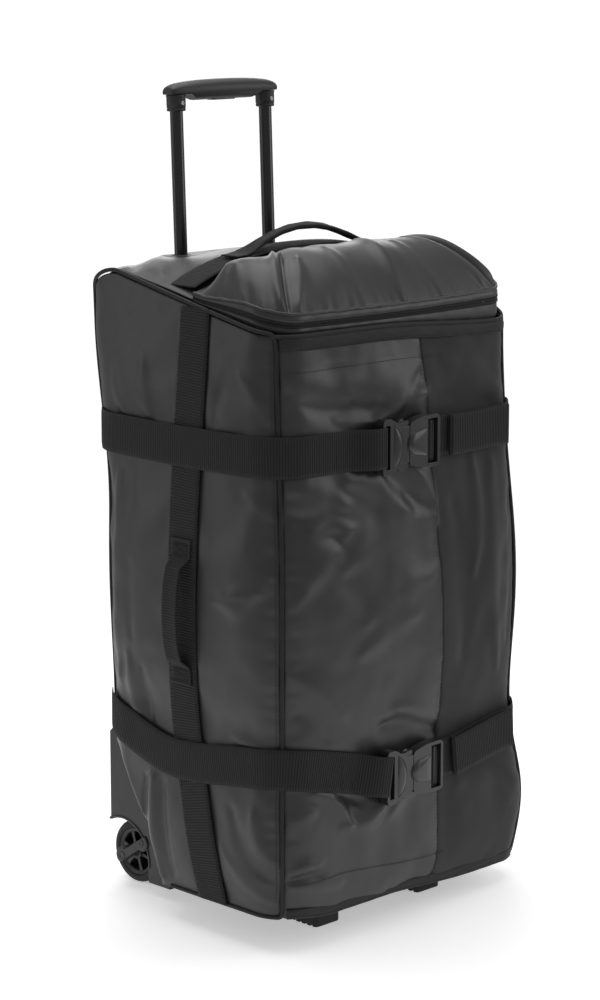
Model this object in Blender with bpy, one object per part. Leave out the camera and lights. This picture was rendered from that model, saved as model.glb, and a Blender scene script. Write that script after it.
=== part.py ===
"""Rolling duffel bag standing on its base.

Origin: on the floor, midway between the two feet. +X is the bag's width, -Y its front, +Z up.
The soft walls are closed panels that follow one body form; the trolley leans back with the rear wall.
"""

import math

import bmesh
import bpy
from mathutils import Matrix, Vector

# Body form
HALF_WIDTH = 0.212
FRONT_DEPTH = 0.170
FRONT_SETBACK = 0.009
BACK_DEPTH = 0.162
BACK_LEAN = 0.035
FRONT_RADIUS = 0.045
BACK_RADIUS = 0.050
BACK_SLUMP = 0.035
BASE_Z = 0.036
FRONT_RIM_Z = 0.748
TOP_SLOPE = 0.213
SHOULDER_Y = 0.115
SHOULDER_RADIUS = 0.070
SIDE_BULGE = 0.010
FRONT_BULGE = 0.014
BACK_BULGE = 0.003
BULGE_TOP_Z = 0.810
TOP_CROWN = 0.044
TOP_CROWN_HALF = 0.215
FABRIC = 0.0025
PIPING_RADIUS = 0.0032
SEAM_MARGIN = 0.0064
GAP = 0.0004

# Lid
HINGE_Y = -0.018
LID_INSET = 0.0076
ZIP_RISE = 0.012
SEAM_RISE = 0.026
LID_CROWN = 0.020

# Webbing
WEB_WIDTH = 0.050
WEB_THICKNESS = 0.0016
SIDE_WEB_STAND = 0.0009
STRAP_STAND = 0.0034
UPPER_STRAP_Z = 0.608
LOWER_STRAP_Z = 0.215
LOWER_BUCKLE_DROP = -0.016

# Trolley
LEAN = math.radians(2.1)
TUBE_SPACING = 0.155
TUBE_FLOOR_Y = 0.118
INNER_TUBE_RADIUS = 0.0083
OUTER_TUBE_RADIUS = 0.0107
TUBE_WALL = 0.0014
OUTER_TUBE_FOOT = 0.0725
OUTER_TUBE_TOP = 0.778
INNER_TUBE_FOOT = 0.640
COLLAR_FOOT = 0.995
COLLAR_TOP = 1.0155
COLLAR_RADIUS = 0.0122
BEZEL_FOOT = 0.7785
BEZEL_TOP = 0.8155
GRIP_HALF = 0.095
GRIP_CENTRE = 1.0230

# Wheels
WHEEL_RADIUS = 0.0415
WHEEL_Y = 0.160
WHEEL_OUTER_X = 0.156
WHEEL_WIDTH = 0.025
AXLE_RADIUS = 0.0040
HOUSING_OUTER_X = 0.177
HOUSING_INNER_X = 0.112
HOUSING_WEB_X = 0.124

# Buckles
BUCKLE_X = -0.020
BUCKLE_DEPTH = 0.014
BUCKLE_STAND = 0.0062

MATERIALS = {
    "tarpaulin": ((0.045, 0.046, 0.048), 0.42, 0.0),
    "matte_fabric": ((0.030, 0.030, 0.032), 0.85, 0.0),
    "webbing": ((0.014, 0.014, 0.015), 0.80, 0.0),
    "lining": ((0.060, 0.060, 0.062), 0.80, 0.0),
    "moulded_plastic": ((0.028, 0.028, 0.030), 0.48, 0.0),
    "hard_plastic": ((0.018, 0.018, 0.019), 0.35, 0.0),
    "tube_metal": ((0.008, 0.008, 0.009), 0.18, 0.6),
    "steel": ((0.55, 0.55, 0.56), 0.30, 1.0),
    "rubber": ((0.022, 0.022, 0.023), 0.75, 0.0),
}


def clear_scene():
    for obj in list(bpy.data.objects):
        bpy.data.objects.remove(obj, do_unlink=True)


def clamp(value, low=0.0, high=1.0):
    return max(low, min(high, value))


def ease(value):
    value = clamp(value)
    return value * value * (3 - 2 * value)


def mix(a, b, t):
    return a + (b - a) * t


def material_for(name, finish):
    colour, roughness, metallic = MATERIALS[finish]
    material = bpy.data.materials.new(name + "_" + finish)
    material.use_nodes = True
    shader = material.node_tree.nodes["Principled BSDF"]
    shader.inputs["Base Color"].default_value = (*colour, 1.0)
    shader.inputs["Roughness"].default_value = roughness
    shader.inputs["Metallic"].default_value = metallic
    return material


def solid(name, vertices, faces, finish, smooth=35.0, parent=None):
    """One closed mesh object, its faces pointing out."""
    mesh = bpy.data.meshes.new(name)
    mesh.from_pydata([tuple(v) for v in vertices], [], faces)
    shape = bmesh.new()
    shape.from_mesh(mesh)
    bmesh.ops.recalc_face_normals(shape, faces=shape.faces)
    shape.to_mesh(mesh)
    shape.free()
    mesh.shade_smooth()
    mesh.set_sharp_from_angle(angle=math.radians(smooth))
    obj = bpy.data.objects.new(name, mesh)
    bpy.context.scene.collection.objects.link(obj)
    mesh.materials.append(material_for(name, finish))
    obj.parent = parent
    return obj


def empty(name, location, rotation=(0.0, 0.0, 0.0), parent=None):
    obj = bpy.data.objects.new(name, None)
    obj.location = location
    obj.rotation_euler = rotation
    obj.parent = parent
    bpy.context.scene.collection.objects.link(obj)
    return obj


def helper(obj):
    """Marks an object as a cutter that is not part of the bag."""
    obj.hide_render = True
    obj.display_type = "WIRE"
    return obj


def cut(obj, cutter):
    modifier = obj.modifiers.new("cut_" + cutter.name, "BOOLEAN")
    modifier.operation = "DIFFERENCE"
    modifier.solver = "EXACT"
    modifier.object = cutter


def bevel(obj, width, segments=1, angle=30.0):
    modifier = obj.modifiers.new("edges", "BEVEL")
    modifier.width = width
    modifier.segments = segments
    modifier.limit_method = "ANGLE"
    modifier.angle_limit = math.radians(angle)


# Basic closed shapes


def loft(name, rings, finish, closed=False, smooth=35.0, parent=None):
    """Skins a list of equal rings of points; the two ends are capped unless the loft closes on itself."""
    count = len(rings[0])
    vertices = [point for ring in rings for point in ring]
    faces = []
    spans = len(rings) if closed else len(rings) - 1
    for i in range(spans):
        here = i * count
        there = ((i + 1) % len(rings)) * count
        for j in range(count):
            k = (j + 1) % count
            faces.append((here + j, here + k, there + k, there + j))
    if not closed:
        faces.append(tuple(range(count)))
        faces.append(tuple((len(rings) - 1) * count + j for j in range(count)))
    return solid(name, vertices, faces, finish, smooth, parent)


def prism(name, outline, low, high, finish, axis="Z", parent=None):
    """An outline of 2-D points drawn along one axis. X: points are (y, z). Y: points are (x, z)."""
    place = {
        "X": lambda p, h: (h, p[0], p[1]),
        "Y": lambda p, h: (p[0], h, p[1]),
        "Z": lambda p, h: (p[0], p[1], h),
    }[axis]
    rings = [[place(p, low) for p in outline], [place(p, high) for p in outline]]
    return loft(name, rings, finish, parent=parent)


def box(name, low, high, finish, parent=None):
    outline = [(low[0], low[1]), (high[0], low[1]), (high[0], high[1]), (low[0], high[1])]
    return prism(name, outline, low[2], high[2], finish, parent=parent)


def turned(name, profile, steps, finish, axis="Z", centre=(0.0, 0.0, 0.0), parent=None):
    """A closed profile of (radius, height) turned round an axis: a ring or sleeve."""
    rings = []
    for i in range(steps):
        angle = math.tau * i / steps
        ring = []
        for radius, height in profile:
            c = radius * math.cos(angle)
            s = radius * math.sin(angle)
            point = (c, s, height) if axis == "Z" else (height, c, s)
            ring.append(Vector(point) + Vector(centre))
        rings.append(ring)
    return loft(name, rings, finish, closed=True, parent=parent)


def rod(name, radius, low, high, steps, finish, axis="Z", centre=(0.0, 0.0, 0.0), parent=None):
    """A solid round bar."""
    rings = []
    for height in (low, high):
        ring = []
        for i in range(steps):
            angle = math.tau * i / steps
            c = radius * math.cos(angle)
            s = radius * math.sin(angle)
            point = {"X": (height, c, s), "Y": (c, height, s), "Z": (c, s, height)}[axis]
            ring.append(Vector(point) + Vector(centre))
        rings.append(ring)
    return loft(name, rings, finish, parent=parent)


def capsule(start, end, radius, steps=6):
    """Outline of a bar with two round ends."""
    along = math.atan2(end[1] - start[1], end[0] - start[0])
    points = []
    for centre, turn in ((end, -math.pi / 2), (start, math.pi / 2)):
        for i in range(steps + 1):
            angle = along + turn + math.pi * i / steps
            points.append((centre[0] + radius * math.cos(angle), centre[1] + radius * math.sin(angle)))
    return points


def arc(centre, radius, first, last, steps):
    """Points on a circle between two angles in degrees."""
    angles = [math.radians(mix(first, last, i / steps)) for i in range(steps + 1)]
    return [(centre[0] + radius * math.cos(a), centre[1] + radius * math.sin(a)) for a in angles]


def sheet(name, surface, across, along, thickness, finish, out=0.0):
    """A thick panel: surface(u, v) gives a point and its outward normal at 0..1."""
    outer, inner = [], []
    for j in range(along + 1):
        for i in range(across + 1):
            point, normal = surface(i / across, j / along)
            outer.append(point + normal * out)
            inner.append(point + normal * (out - thickness))
    row = across + 1
    count = len(outer)
    faces = []
    for j in range(along):
        for i in range(across):
            a = j * row + i
            faces.append((a, a + 1, a + row + 1, a + row))
            faces.append((count + a, count + a + row, count + a + row + 1, count + a + 1))
    rim = list(range(across))
    rim += [j * row + across for j in range(along)]
    rim += [along * row + i for i in range(across, 0, -1)]
    rim += [j * row for j in range(along, 0, -1)]
    for a, b in zip(rim, rim[1:] + rim[:1]):
        faces.append((a, count + a, count + b, b))
    return solid(name, outer + inner, faces, finish, smooth=50.0)


def path_frames(path):
    """Point, sideways and lift directions at each step of a path of (point, normal)."""
    last = len(path) - 1
    for i, (point, normal) in enumerate(path):
        tangent = (path[min(i + 1, last)][0] - path[max(i - 1, 0)][0]).normalized()
        side = tangent.cross(normal).normalized()
        yield point, side, side.cross(tangent).normalized()


def ribbon(name, path, width, thickness, finish, out=0.0):
    """Webbing laid flat along a path of (point, normal)."""
    rings = []
    for point, side, lift in path_frames(path):
        low = point + lift * out
        high = point + lift * (out + thickness)
        half = side * (width / 2)
        rings.append([low - half, low + half, high + half, high - half])
    return loft(name, rings, finish)


def cord(name, path, radius, sides, finish):
    """Round cord along a path of (point, normal)."""
    rings = []
    for point, side, lift in path_frames(path):
        ring = []
        for k in range(sides):
            angle = math.tau * k / sides
            ring.append(point + side * radius * math.cos(angle) + lift * radius * math.sin(angle))
        rings.append(ring)
    return loft(name, rings, finish)


# Body form


def spread(z):
    """How much fuller the packed body is at a height."""
    belly = 0.010 * math.exp(-(((z - 0.40) / 0.15) ** 2))
    foot = 0.014 * math.exp(-(((z - 0.11) / 0.10) ** 2))
    return belly + foot


def upright(z):
    """0 at the base and the rim, 1 between them: the share of the bulge at a height."""
    t = 2 * clamp((z - BASE_Z) / (BULGE_TOP_Z - BASE_Z)) - 1
    return 1 - t**4


def back_y(z):
    return BACK_DEPTH + BACK_LEAN * z


def front_reach(z):
    """How far the front stands forward of the frame's middle; it leans back a little towards the rim."""
    return FRONT_DEPTH + spread(z) - FRONT_SETBACK * ease((z - 0.45) / 0.30)


def back_radius(z):
    """Radius of the back corners, rounder below the frame of the top."""
    return BACK_RADIUS + BACK_SLUMP * (1 - ease((z - 0.50) / 0.24)) - 0.010 * (1 - ease((z - 0.15) / 0.25))


def side_top(y):
    """Height of the side panel's top edge."""
    height = FRONT_RIM_Z + TOP_SLOPE * (min(y, SHOULDER_Y) + FRONT_DEPTH)
    if y > SHOULDER_Y:
        reach = min(y - SHOULDER_Y, SHOULDER_RADIUS)
        height -= SHOULDER_RADIUS - math.sqrt(SHOULDER_RADIUS**2 - reach**2)
    return height


def wall(name, u, z):
    """Point and outward normal on one wall at a height; u runs front to back, or left to right."""
    half = HALF_WIDTH + spread(z)
    front = -front_reach(z)
    back_corner = back_radius(z)
    back = back_y(z)
    side = -1.0 if name == "left" else 1.0
    if name == "front":
        start = Vector((-half + FRONT_RADIUS, front, 0))
        end = Vector((half - FRONT_RADIUS, front, 0))
        facing = Vector((0, -1, 0))
        first, last, bulge = FRONT_RADIUS, FRONT_RADIUS, FRONT_BULGE
    elif name == "back":
        start = Vector((-half + back_corner, back, 0))
        end = Vector((half - back_corner, back, 0))
        facing = Vector((0, 1, 0))
        first, last, bulge = back_corner, back_corner, BACK_BULGE
    else:
        start = Vector((side * half, front + FRONT_RADIUS, 0))
        end = Vector((side * half, back - back_corner, 0))
        facing = Vector((side, 0, 0))
        first, last, bulge = FRONT_RADIUS, back_corner, SIDE_BULGE
    along = (end - start).normalized()
    straight = (end - start).length
    entry = first * math.pi / 4
    distance = u * (entry + straight + last * math.pi / 4)
    if distance < entry:
        angle = math.pi / 4 - distance / first
        normal = facing * math.cos(angle) - along * math.sin(angle)
        point = start - facing * first + normal * first
    elif distance < entry + straight:
        normal = facing
        point = start + along * (distance - entry)
    else:
        angle = (distance - entry - straight) / last
        normal = facing * math.cos(angle) + along * math.sin(angle)
        point = end - facing * last + normal * last
    point = point + normal * (bulge * math.sin(math.pi * clamp(u)) * upright(z))
    point.z = z
    return point, normal


def wall_length(name, z):
    half = HALF_WIDTH + spread(z)
    depth = front_reach(z) + back_y(z)
    back_corner = back_radius(z)
    arcs = (FRONT_RADIUS + back_corner) * math.pi / 4
    if name == "front":
        return 2 * half - 2 * FRONT_RADIUS + FRONT_RADIUS * math.pi / 2
    if name == "back":
        return 2 * half - 2 * back_corner + back_corner * math.pi / 2
    return depth - FRONT_RADIUS - back_corner + arcs


# Front edge of the wheel housing, as height and y
HOUSING_EDGE = (
    (0.016, 0.070),
    (0.060, 0.068),
    (0.090, 0.074),
    (0.115, 0.086),
    (0.140, 0.104),
    (0.165, 0.122),
    (0.190, 0.138),
    (0.215, 0.150),
)


def housing_edge(z):
    if z <= HOUSING_EDGE[0][0]:
        return HOUSING_EDGE[0][1]
    for (z0, y0), (z1, y1) in zip(HOUSING_EDGE, HOUSING_EDGE[1:]):
        if z <= z1:
            return mix(y0, y1, (z - z0) / (z1 - z0))
    return HOUSING_EDGE[-1][1] + (z - HOUSING_EDGE[-1][0])


def tucked(point, normal):
    """Draws the side wall in towards the moulded wheel housing."""
    near = ease((point.y - housing_edge(point.z) + 0.050) / 0.050)
    fade = 1 - ease((point.z - 0.165) / 0.055)
    reach = max(0.0, abs(point.x) - HOUSING_OUTER_X - 0.001)
    side = -1.0 if point.x < 0 else 1.0
    return point - Vector((side * reach * near * fade, 0, 0)), normal


def side_surface(name, low, high):
    """Surface of a side panel; u front to back, v up."""
    margin = SEAM_MARGIN / wall_length(name, 0.4)

    def surface(u, v):
        u = mix(margin, 1 - margin, u)
        reference, _ = wall(name, u, 0.7)
        top = side_top(reference.y) - high
        point, normal = wall(name, u, mix(BASE_Z + low, top, v))
        return tucked(point, normal)

    return surface


def front_seam(z):
    """Share of the front's width at which the coated and the matte cloth meet."""
    return mix(0.562, 0.595, clamp((FRONT_RIM_Z - z) / 0.30))


def span_surface(name, shares, low, high):
    """Part of the front or back wall between two heights; shares(z) gives its start and end across the width."""

    def surface(u, v):
        z = mix(low, high, v)
        return wall(name, mix(*shares(z), u), z)

    return surface


def top_height(x, y):
    """Height of the top of the bag, behind the lid."""
    crown = TOP_CROWN * (1 - clamp(abs(x) / TOP_CROWN_HALF) ** 2.4)
    forward = 1 - ease((y - 0.01) / 0.13)
    return side_top(y) + crown * mix(0.20, 1.0, forward)


def top_surface(u, v):
    """Rear part of the top, from the hinge line over the shoulder."""
    y = mix(HINGE_Y + 0.004, SHOULDER_Y, clamp(v / 0.55))
    z_drop = 0.0
    normal = Vector((0, 0, 1))
    if v > 0.55:
        angle = (v - 0.55) / 0.45 * math.radians(72)
        y = SHOULDER_Y + SHOULDER_RADIUS * math.sin(angle)
        z_drop = SHOULDER_RADIUS * (1 - math.cos(angle))
        normal = Vector((0, math.sin(angle), math.cos(angle)))
    past = clamp((y - back_y(FRONT_RIM_Z) + BACK_RADIUS) / BACK_RADIUS)
    half = HALF_WIDTH - BACK_RADIUS * (1 - math.sqrt(1 - past**2)) - SEAM_MARGIN - 0.002
    x = mix(-half, half, u)
    level = top_height(x, min(y, SHOULDER_Y))
    return Vector((x, y, level - z_drop)), normal


# Lid


def rim(w):
    """Point and outward normal on the lid's line round the front; w runs left hinge to right hinge."""
    level = FRONT_RIM_Z
    side_length = wall_length("left", level)
    front_length = wall_length("front", level)
    entry = FRONT_RADIUS * math.pi / 4
    reach = entry + (HINGE_Y + front_reach(level) - FRONT_RADIUS)
    total = 2 * reach + front_length
    distance = w * total
    if distance < reach:
        return wall("left", (reach - distance) / side_length, level)
    if distance < reach + front_length:
        return wall("front", (distance - reach) / front_length, level)
    return wall("right", (distance - reach - front_length) / side_length, level)


def rise(y):
    """Share of the zip band's height, full at the front and low at the hinge."""
    return mix(0.45, 1.0, ease((HINGE_Y - y) / 0.10))


def band_surface(low, high):
    def surface(u, v):
        point, normal = rim(u)
        base = side_top(point.y)
        z = base + mix(low, high, v) * rise(point.y)
        return Vector((point.x, point.y, z)) - normal * LID_INSET, normal

    return surface


def lid_point(u, v):
    edge, normal = rim(u)
    edge = edge - normal * LID_INSET
    edge.z = side_top(edge.y) + SEAM_RISE * rise(edge.y) + GAP
    hinge_half = 0.84 * (HALF_WIDTH - LID_INSET)
    hinge = Vector((mix(-hinge_half, hinge_half, u), HINGE_Y, 0))
    hinge.z = top_height(hinge.x, HINGE_Y) + 0.002
    point = edge.lerp(hinge, v)
    point.z = mix(edge.z, hinge.z, 1 - (1 - v) ** 3) + LID_CROWN * math.sin(math.pi * v)
    return point


def lid_surface(u, v):
    step = 0.01
    u0, u1 = max(0.0, u - step), min(1.0, u + step)
    v0, v1 = max(0.0, v - step), min(1.0, v + step)
    across = lid_point(u1, v) - lid_point(u0, v)
    inward = lid_point(u, v1) - lid_point(u, v0)
    return lid_point(u, v), across.cross(inward).normalized()


# Soft body


def make_panels():
    edge = SEAM_MARGIN / wall_length("front", 0.4)
    base_gap = 0.008
    foot = BASE_Z + base_gap
    head = FRONT_RIM_Z - 0.005
    coated = span_surface("front", lambda z: (edge, front_seam(z)), foot, head)
    matte = span_surface("front", lambda z: (front_seam(z) + 0.003, 1 - edge), foot, head)
    sheet("front_panel", coated, 9, 7, FABRIC, "tarpaulin")
    sheet("front_side_panel", matte, 7, 7, FABRIC, "matte_fabric")
    for name in ("left", "right"):
        sheet("side_panel_" + name, side_surface(name, base_gap, 0.008), 10, 10, FABRIC, "tarpaulin")
    back = span_surface("back", lambda z: (0.03, 0.97), foot, 0.742)
    sheet("back_panel", back, 8, 4, FABRIC, "tarpaulin")
    sheet("top_panel", top_surface, 8, 9, FABRIC, "tarpaulin")


def base_outline(inset, steps=4):
    """Plan of the base panel, counter-clockwise."""
    points = []
    for name, flip in (("front", False), ("right", False), ("back", True), ("left", True)):
        shares = [0.0, 0.06, 0.12] + [mix(0.12, 0.88, i / steps) for i in range(1, steps + 1)] + [0.94]
        for share in shares:
            u = 1 - share if flip else share
            point, normal = wall(name, u, BASE_Z)
            points.append(tuple((point - normal * inset).xy))
    return points


def make_base():
    prism("base_panel", base_outline(0.0095), BASE_Z, BASE_Z + 0.004, "matte_fabric")
    for side, name in ((-1, "left"), (1, "right")):
        x0, x1 = sorted((side * 0.071, side * 0.114))
        foot = box("foot_" + name, (x0, -0.130, 0.0), (x1, -0.086, BASE_Z - GAP), "rubber")
        bevel(foot, 0.004, 2)


def seam_points(name):
    """Seam round one side panel: up the back corner, over the top, down the front corner, along the base."""
    path = []
    low, high = BASE_Z + 0.004, FRONT_RIM_Z
    for i in range(13):
        path.append(wall(name, 1.0, mix(0.264, 0.775, i / 12)))
    for i in range(14, 0, -1):
        u = i / 15
        reference, _ = wall(name, u, 0.7)
        point, normal = wall(name, u, side_top(reference.y))
        path.append((point, (normal + Vector((0, 0, 0.4))).normalized()))
    for i in range(15):
        path.append(wall(name, 0.0, mix(high, low, i / 14)))
    for i in range(1, 12):
        u = mix(0.0, 0.59, i / 11)
        path.append(tucked(*wall(name, u, low)))
    return [(point - normal * (PIPING_RADIUS - 0.0002), normal) for point, normal in path]


def make_piping():
    for name in ("left", "right"):
        cord("side_piping_" + name, seam_points(name), PIPING_RADIUS, 6, "webbing")


# Webbing and handles


def side_share(name, y, z):
    """Share of the side wall's length at which it reaches a depth y."""
    reach = y + front_reach(z) - FRONT_RADIUS * (1 - math.pi / 4)
    return clamp(reach / wall_length(name, z))


def side_webbing_surface(name):
    """Vertical webbing down the middle of a side, curving forward at the base; v runs downwards."""

    def surface(u, v):
        z = mix(0.774, 0.046, v)
        y = mix(-0.028, -0.018, ease((0.774 - z) / 0.25))
        y -= 0.042 * ease((0.30 - z) / 0.26)
        side = 1.0 if name == "left" else -1.0
        y += side * (u - 0.5) * WEB_WIDTH
        return tucked(*wall(name, side_share(name, y, z), z))

    return surface


def top_webbing_surface(u, v):
    x = mix(-0.197, 0.197, v)
    y = 0.008 - (u - 0.5) * 0.044
    step = 0.004
    slope_x = (top_height(x + step, y) - top_height(x - step, y)) / (2 * step)
    slope_y = (top_height(x, y + step) - top_height(x, y - step)) / (2 * step)
    return Vector((x, y, top_height(x, y))), Vector((-slope_x, -slope_y, 1)).normalized()


def grab_handle_path():
    """Flat sewn ends and a raised arch between them."""
    base = top_height(0.1, 0.008) + 0.0045
    marks = ((-0.126, 0.0), (-0.108, 0.001), (-0.094, 0.007), (-0.076, 0.018), (-0.048, 0.030), (-0.018, 0.037),
             (0.018, 0.037), (0.048, 0.030), (0.076, 0.018), (0.094, 0.007), (0.108, 0.001), (0.126, 0.0))
    path = []
    for x, lift in marks:
        level = max(base + lift, top_height(x, 0.008) + 0.0045)
        path.append((Vector((x, 0.008, level)), Vector((0, 0, 1))))
    return path


def side_handle_path(name):
    marks = ((0.318, 0.0), (0.336, 0.001), (0.352, 0.009), (0.378, 0.018), (0.405, 0.021), (0.432, 0.018),
             (0.458, 0.009), (0.474, 0.001), (0.492, 0.0))
    path = []
    for z, stand in marks:
        point, normal = wall(name, side_share(name, -0.018, z), z)
        path.append((point + normal * stand, normal))
    return path


def make_webbing():
    for name in ("left", "right"):
        sheet("side_webbing_" + name, side_webbing_surface(name), 2, 26, WEB_THICKNESS, "webbing",
              out=SIDE_WEB_STAND + WEB_THICKNESS)
        ribbon("side_handle_" + name, side_handle_path(name), 0.032, 0.003, "webbing", out=0.0032)
    sheet("top_webbing", top_webbing_surface, 2, 14, WEB_THICKNESS, "webbing", out=0.0006 + WEB_THICKNESS)
    ribbon("grab_handle", grab_handle_path(), 0.028, 0.004, "webbing")


# Compression straps

# Height of the lower strap above its level, by position round the bag from the back left seam to the back right
LOWER_STRAP_DRAPE = (
    (0.0, 0.034),
    (0.15, 0.003),
    (0.29, 0.016),
    (0.47, LOWER_BUCKLE_DROP),
    (0.52, LOWER_BUCKLE_DROP),
    (0.67, -0.002),
    (0.80, 0.003),
    (1.0, 0.034),
)


def drape(t):
    for (t0, h0), (t1, h1) in zip(LOWER_STRAP_DRAPE, LOWER_STRAP_DRAPE[1:]):
        if t <= t1:
            return mix(h0, h1, ease((t - t0) / (t1 - t0)))
    return LOWER_STRAP_DRAPE[-1][1]


def round_bag(t, z):
    """Point on the left, front and right walls in turn; t runs from the back left to the back right seam."""
    if t < 0.30:
        return wall("left", 1 - t / 0.30, z)
    if t < 0.70:
        return wall("front", (t - 0.30) / 0.40, z)
    return wall("right", (t - 0.70) / 0.30, z)


def strap_marks(first, last):
    """Positions along a strap, close together where it turns the bag's corners."""
    side = (0.0, 0.055, 0.11, 0.22, 0.36, 0.5, 0.64, 0.78, 0.9, 0.933, 0.966, 1.0)
    front = (0.03, 0.06, 0.09, 0.2, 0.34, 0.5, 0.66, 0.8, 0.91, 0.94, 0.97, 1.0)
    marks = [0.30 * share for share in side]
    marks += [0.30 + 0.40 * share for share in front]
    marks += [1.0 - 0.30 * share for share in reversed(side[:-1])]
    low, high = min(first, last), max(first, last)
    inside = [low] + [t for t in marks if low + 0.004 < t < high - 0.004] + [high]
    return inside if first < last else inside[::-1]


def strap_rows(level, first, last, droops, stand):
    """Bottom, middle and top edge points of a strap, at a distance off the body."""
    rows = []
    for t in strap_marks(first, last):
        z = level + (drape(t) if droops else 0.0)
        row = []
        for share in (-0.5, 0.0, 0.5):
            point, normal = tucked(*round_bag(t, z + share * WEB_WIDTH))
            row.append(point + normal * stand)
        rows.append(row)
    return rows


def strap(name, rows):
    """Webbing through rows of points across its width; it may double back on itself."""
    rings = []
    last = len(rows) - 1
    up = Vector((0, 0, 1))
    for i, row in enumerate(rows):
        tangent = rows[min(i + 1, last)][1] - rows[max(i - 1, 0)][1]
        tangent.z = 0
        thick = tangent.normalized().cross(up) * (WEB_THICKNESS / 2)
        rings.append([point - thick for point in row] + [point + thick for point in reversed(row)])
    return loft(name, rings, "webbing")


def share_at(x, z):
    """Position round the bag of a point on the front wall at a given x."""
    low, high = 0.30, 0.70
    for _ in range(30):
        middle = (low + high) / 2
        if round_bag(middle, z)[0].x < x:
            low = middle
        else:
            high = middle
    return (low + high) / 2


def buckle_levels():
    return (("upper", UPPER_STRAP_Z, False), ("lower", LOWER_STRAP_Z + LOWER_BUCKLE_DROP, True))


def make_straps():
    middle = STRAP_STAND + WEB_THICKNESS / 2
    for (name, buckle_z, droops), level in zip(buckle_levels(), (UPPER_STRAP_Z, LOWER_STRAP_Z)):
        left_end = share_at(BUCKLE_X - 0.0515, buckle_z)
        right_end = share_at(BUCKLE_X + 0.0530, buckle_z)
        strap(name + "_strap", strap_rows(level, 0.004, left_end, droops, middle))
        # The tail turns back at the buckle and lies on the strap as far as the front corner.
        under = strap_rows(level, 0.996, right_end, droops, middle)
        over = strap_rows(level, right_end, 0.715, droops, middle + 0.0044)
        turn = [point + Vector((-0.0022, -0.0022, 0.0)) for point in under[-1]]
        strap(name + "_strap_tail", under + [turn] + over)


# Side-release buckles, drawn in a frame of their own: x along the strap, z across it, -y away from the bag

SOCKET_BODY = ((-0.050, -0.030), (-0.046, -0.034), (-0.032, -0.033), (-0.026, -0.029), (-0.004, -0.029),
               (-0.004, 0.029), (-0.026, 0.029), (-0.032, 0.033), (-0.046, 0.034), (-0.050, 0.030))
PLUG_BODY = ((-0.0036, -0.026), (0.006, -0.029), (0.020, -0.0315), (0.045, -0.0325), (0.050, -0.029),
             (0.050, 0.029), (0.045, 0.0325), (0.020, 0.0315), (0.006, 0.029), (-0.0036, 0.026))
PRONG = ((-0.0042, 0.0090), (-0.0042, 0.0160), (-0.0105, 0.0185), (-0.0110, 0.0290), (-0.0120, 0.0310),
         (-0.0180, 0.0310), (-0.0225, 0.0270), (-0.0225, 0.0215), (-0.0120, 0.0130))
SQUEEZE_PIVOT = (-0.0042, 0.0125)


def mirrored(outline):
    return [(x, -z) for x, z in reversed(outline)]


def buckle_place(buckle_z):
    point, normal = round_bag(share_at(BUCKLE_X, buckle_z), buckle_z)
    return point + normal * BUCKLE_STAND


def make_buckle(name, buckle_z):
    centre = buckle_place(buckle_z)
    frame = empty(name + "_buckle_frame", centre)
    depth = BUCKLE_DEPTH
    skin = 0.0035
    socket = prism(name + "_buckle_socket", SOCKET_BODY, -depth, 0.0, "hard_plastic", axis="Y", parent=frame)
    openings = {
        "_bar_slot": ((-0.045, -0.030, -0.027), (-0.038, 0.010, 0.027)),
        "_mouth": ((-0.026, -depth + skin, -0.022), (0.0, -skin, 0.022)),
        "_window": ((-0.025, -depth + skin, -0.04), (-0.0095, -skin, 0.04)),
    }
    for suffix, (low, high) in openings.items():
        cut(socket, helper(box(name + suffix, low, high, "hard_plastic", frame)))
    plug = prism(name + "_buckle_plug", PLUG_BODY, -depth, 0.0, "hard_plastic", axis="Y", parent=frame)
    for i, (low, high) in enumerate(((0.029, 0.035), (0.039, 0.046))):
        slot = box(f"{name}_ladder_{i}", (low, -0.030, -0.027), (high, 0.010, 0.027), "hard_plastic", frame)
        cut(plug, helper(slot))
    for place, outline in (("top", PRONG), ("bottom", mirrored(PRONG))):
        sign = 1.0 if place == "top" else -1.0
        pivot = Vector((SQUEEZE_PIVOT[0], 0.0, sign * SQUEEZE_PIVOT[1]))
        moved = [(x - pivot.x, z - pivot.z) for x, z in outline]
        prong = prism(f"{name}_prong_{place}", moved, -depth + skin + 0.0005, -skin - 0.0005, "hard_plastic",
                      axis="Y", parent=frame)
        prong.location = pivot


# Zip and lid


def make_lid():
    sheet("zip_gusset", band_surface(0.002, ZIP_RISE - 0.0006), 30, 1, 0.0020, "webbing")
    sheet("lid_gusset", band_surface(ZIP_RISE + 0.0006, SEAM_RISE - 0.0038), 30, 1, 0.0020, "webbing")
    sheet("lid", lid_surface, 22, 6, FABRIC, "tarpaulin")


def zip_frame():
    """Where the slider sits: on the band, right of the front corner."""
    point, normal = rim(0.86)
    z = side_top(point.y) + ZIP_RISE * rise(point.y)
    return Vector((point.x, point.y, z)) - normal * LID_INSET, normal


def make_zip():
    point, normal = zip_frame()
    turn = math.atan2(normal.y, normal.x)
    frame = empty("zip_frame", point, (0.0, 0.0, turn))
    slider = box("zip_slider", (0.0006, -0.0075, -0.0055), (0.0098, 0.0075, 0.0055), "steel", frame)
    bevel(slider, 0.0012)
    pull_outline = ((-0.0022, 0.0009), (0.0022, 0.0009), (0.0035, -0.012), (0.0035, -0.033), (0.0, -0.036),
                    (-0.0035, -0.033), (-0.0035, -0.012))
    rings = [[(x, y, z) for y, z in pull_outline] for x in (-0.0011, 0.0011)]
    pull = loft("zip_pull", rings, "steel", parent=frame)
    pull.location = (0.0115, 0.0, 0.0035)


# Trolley


def tube_places():
    return ((-1, "left"), (1, "right"))


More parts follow.
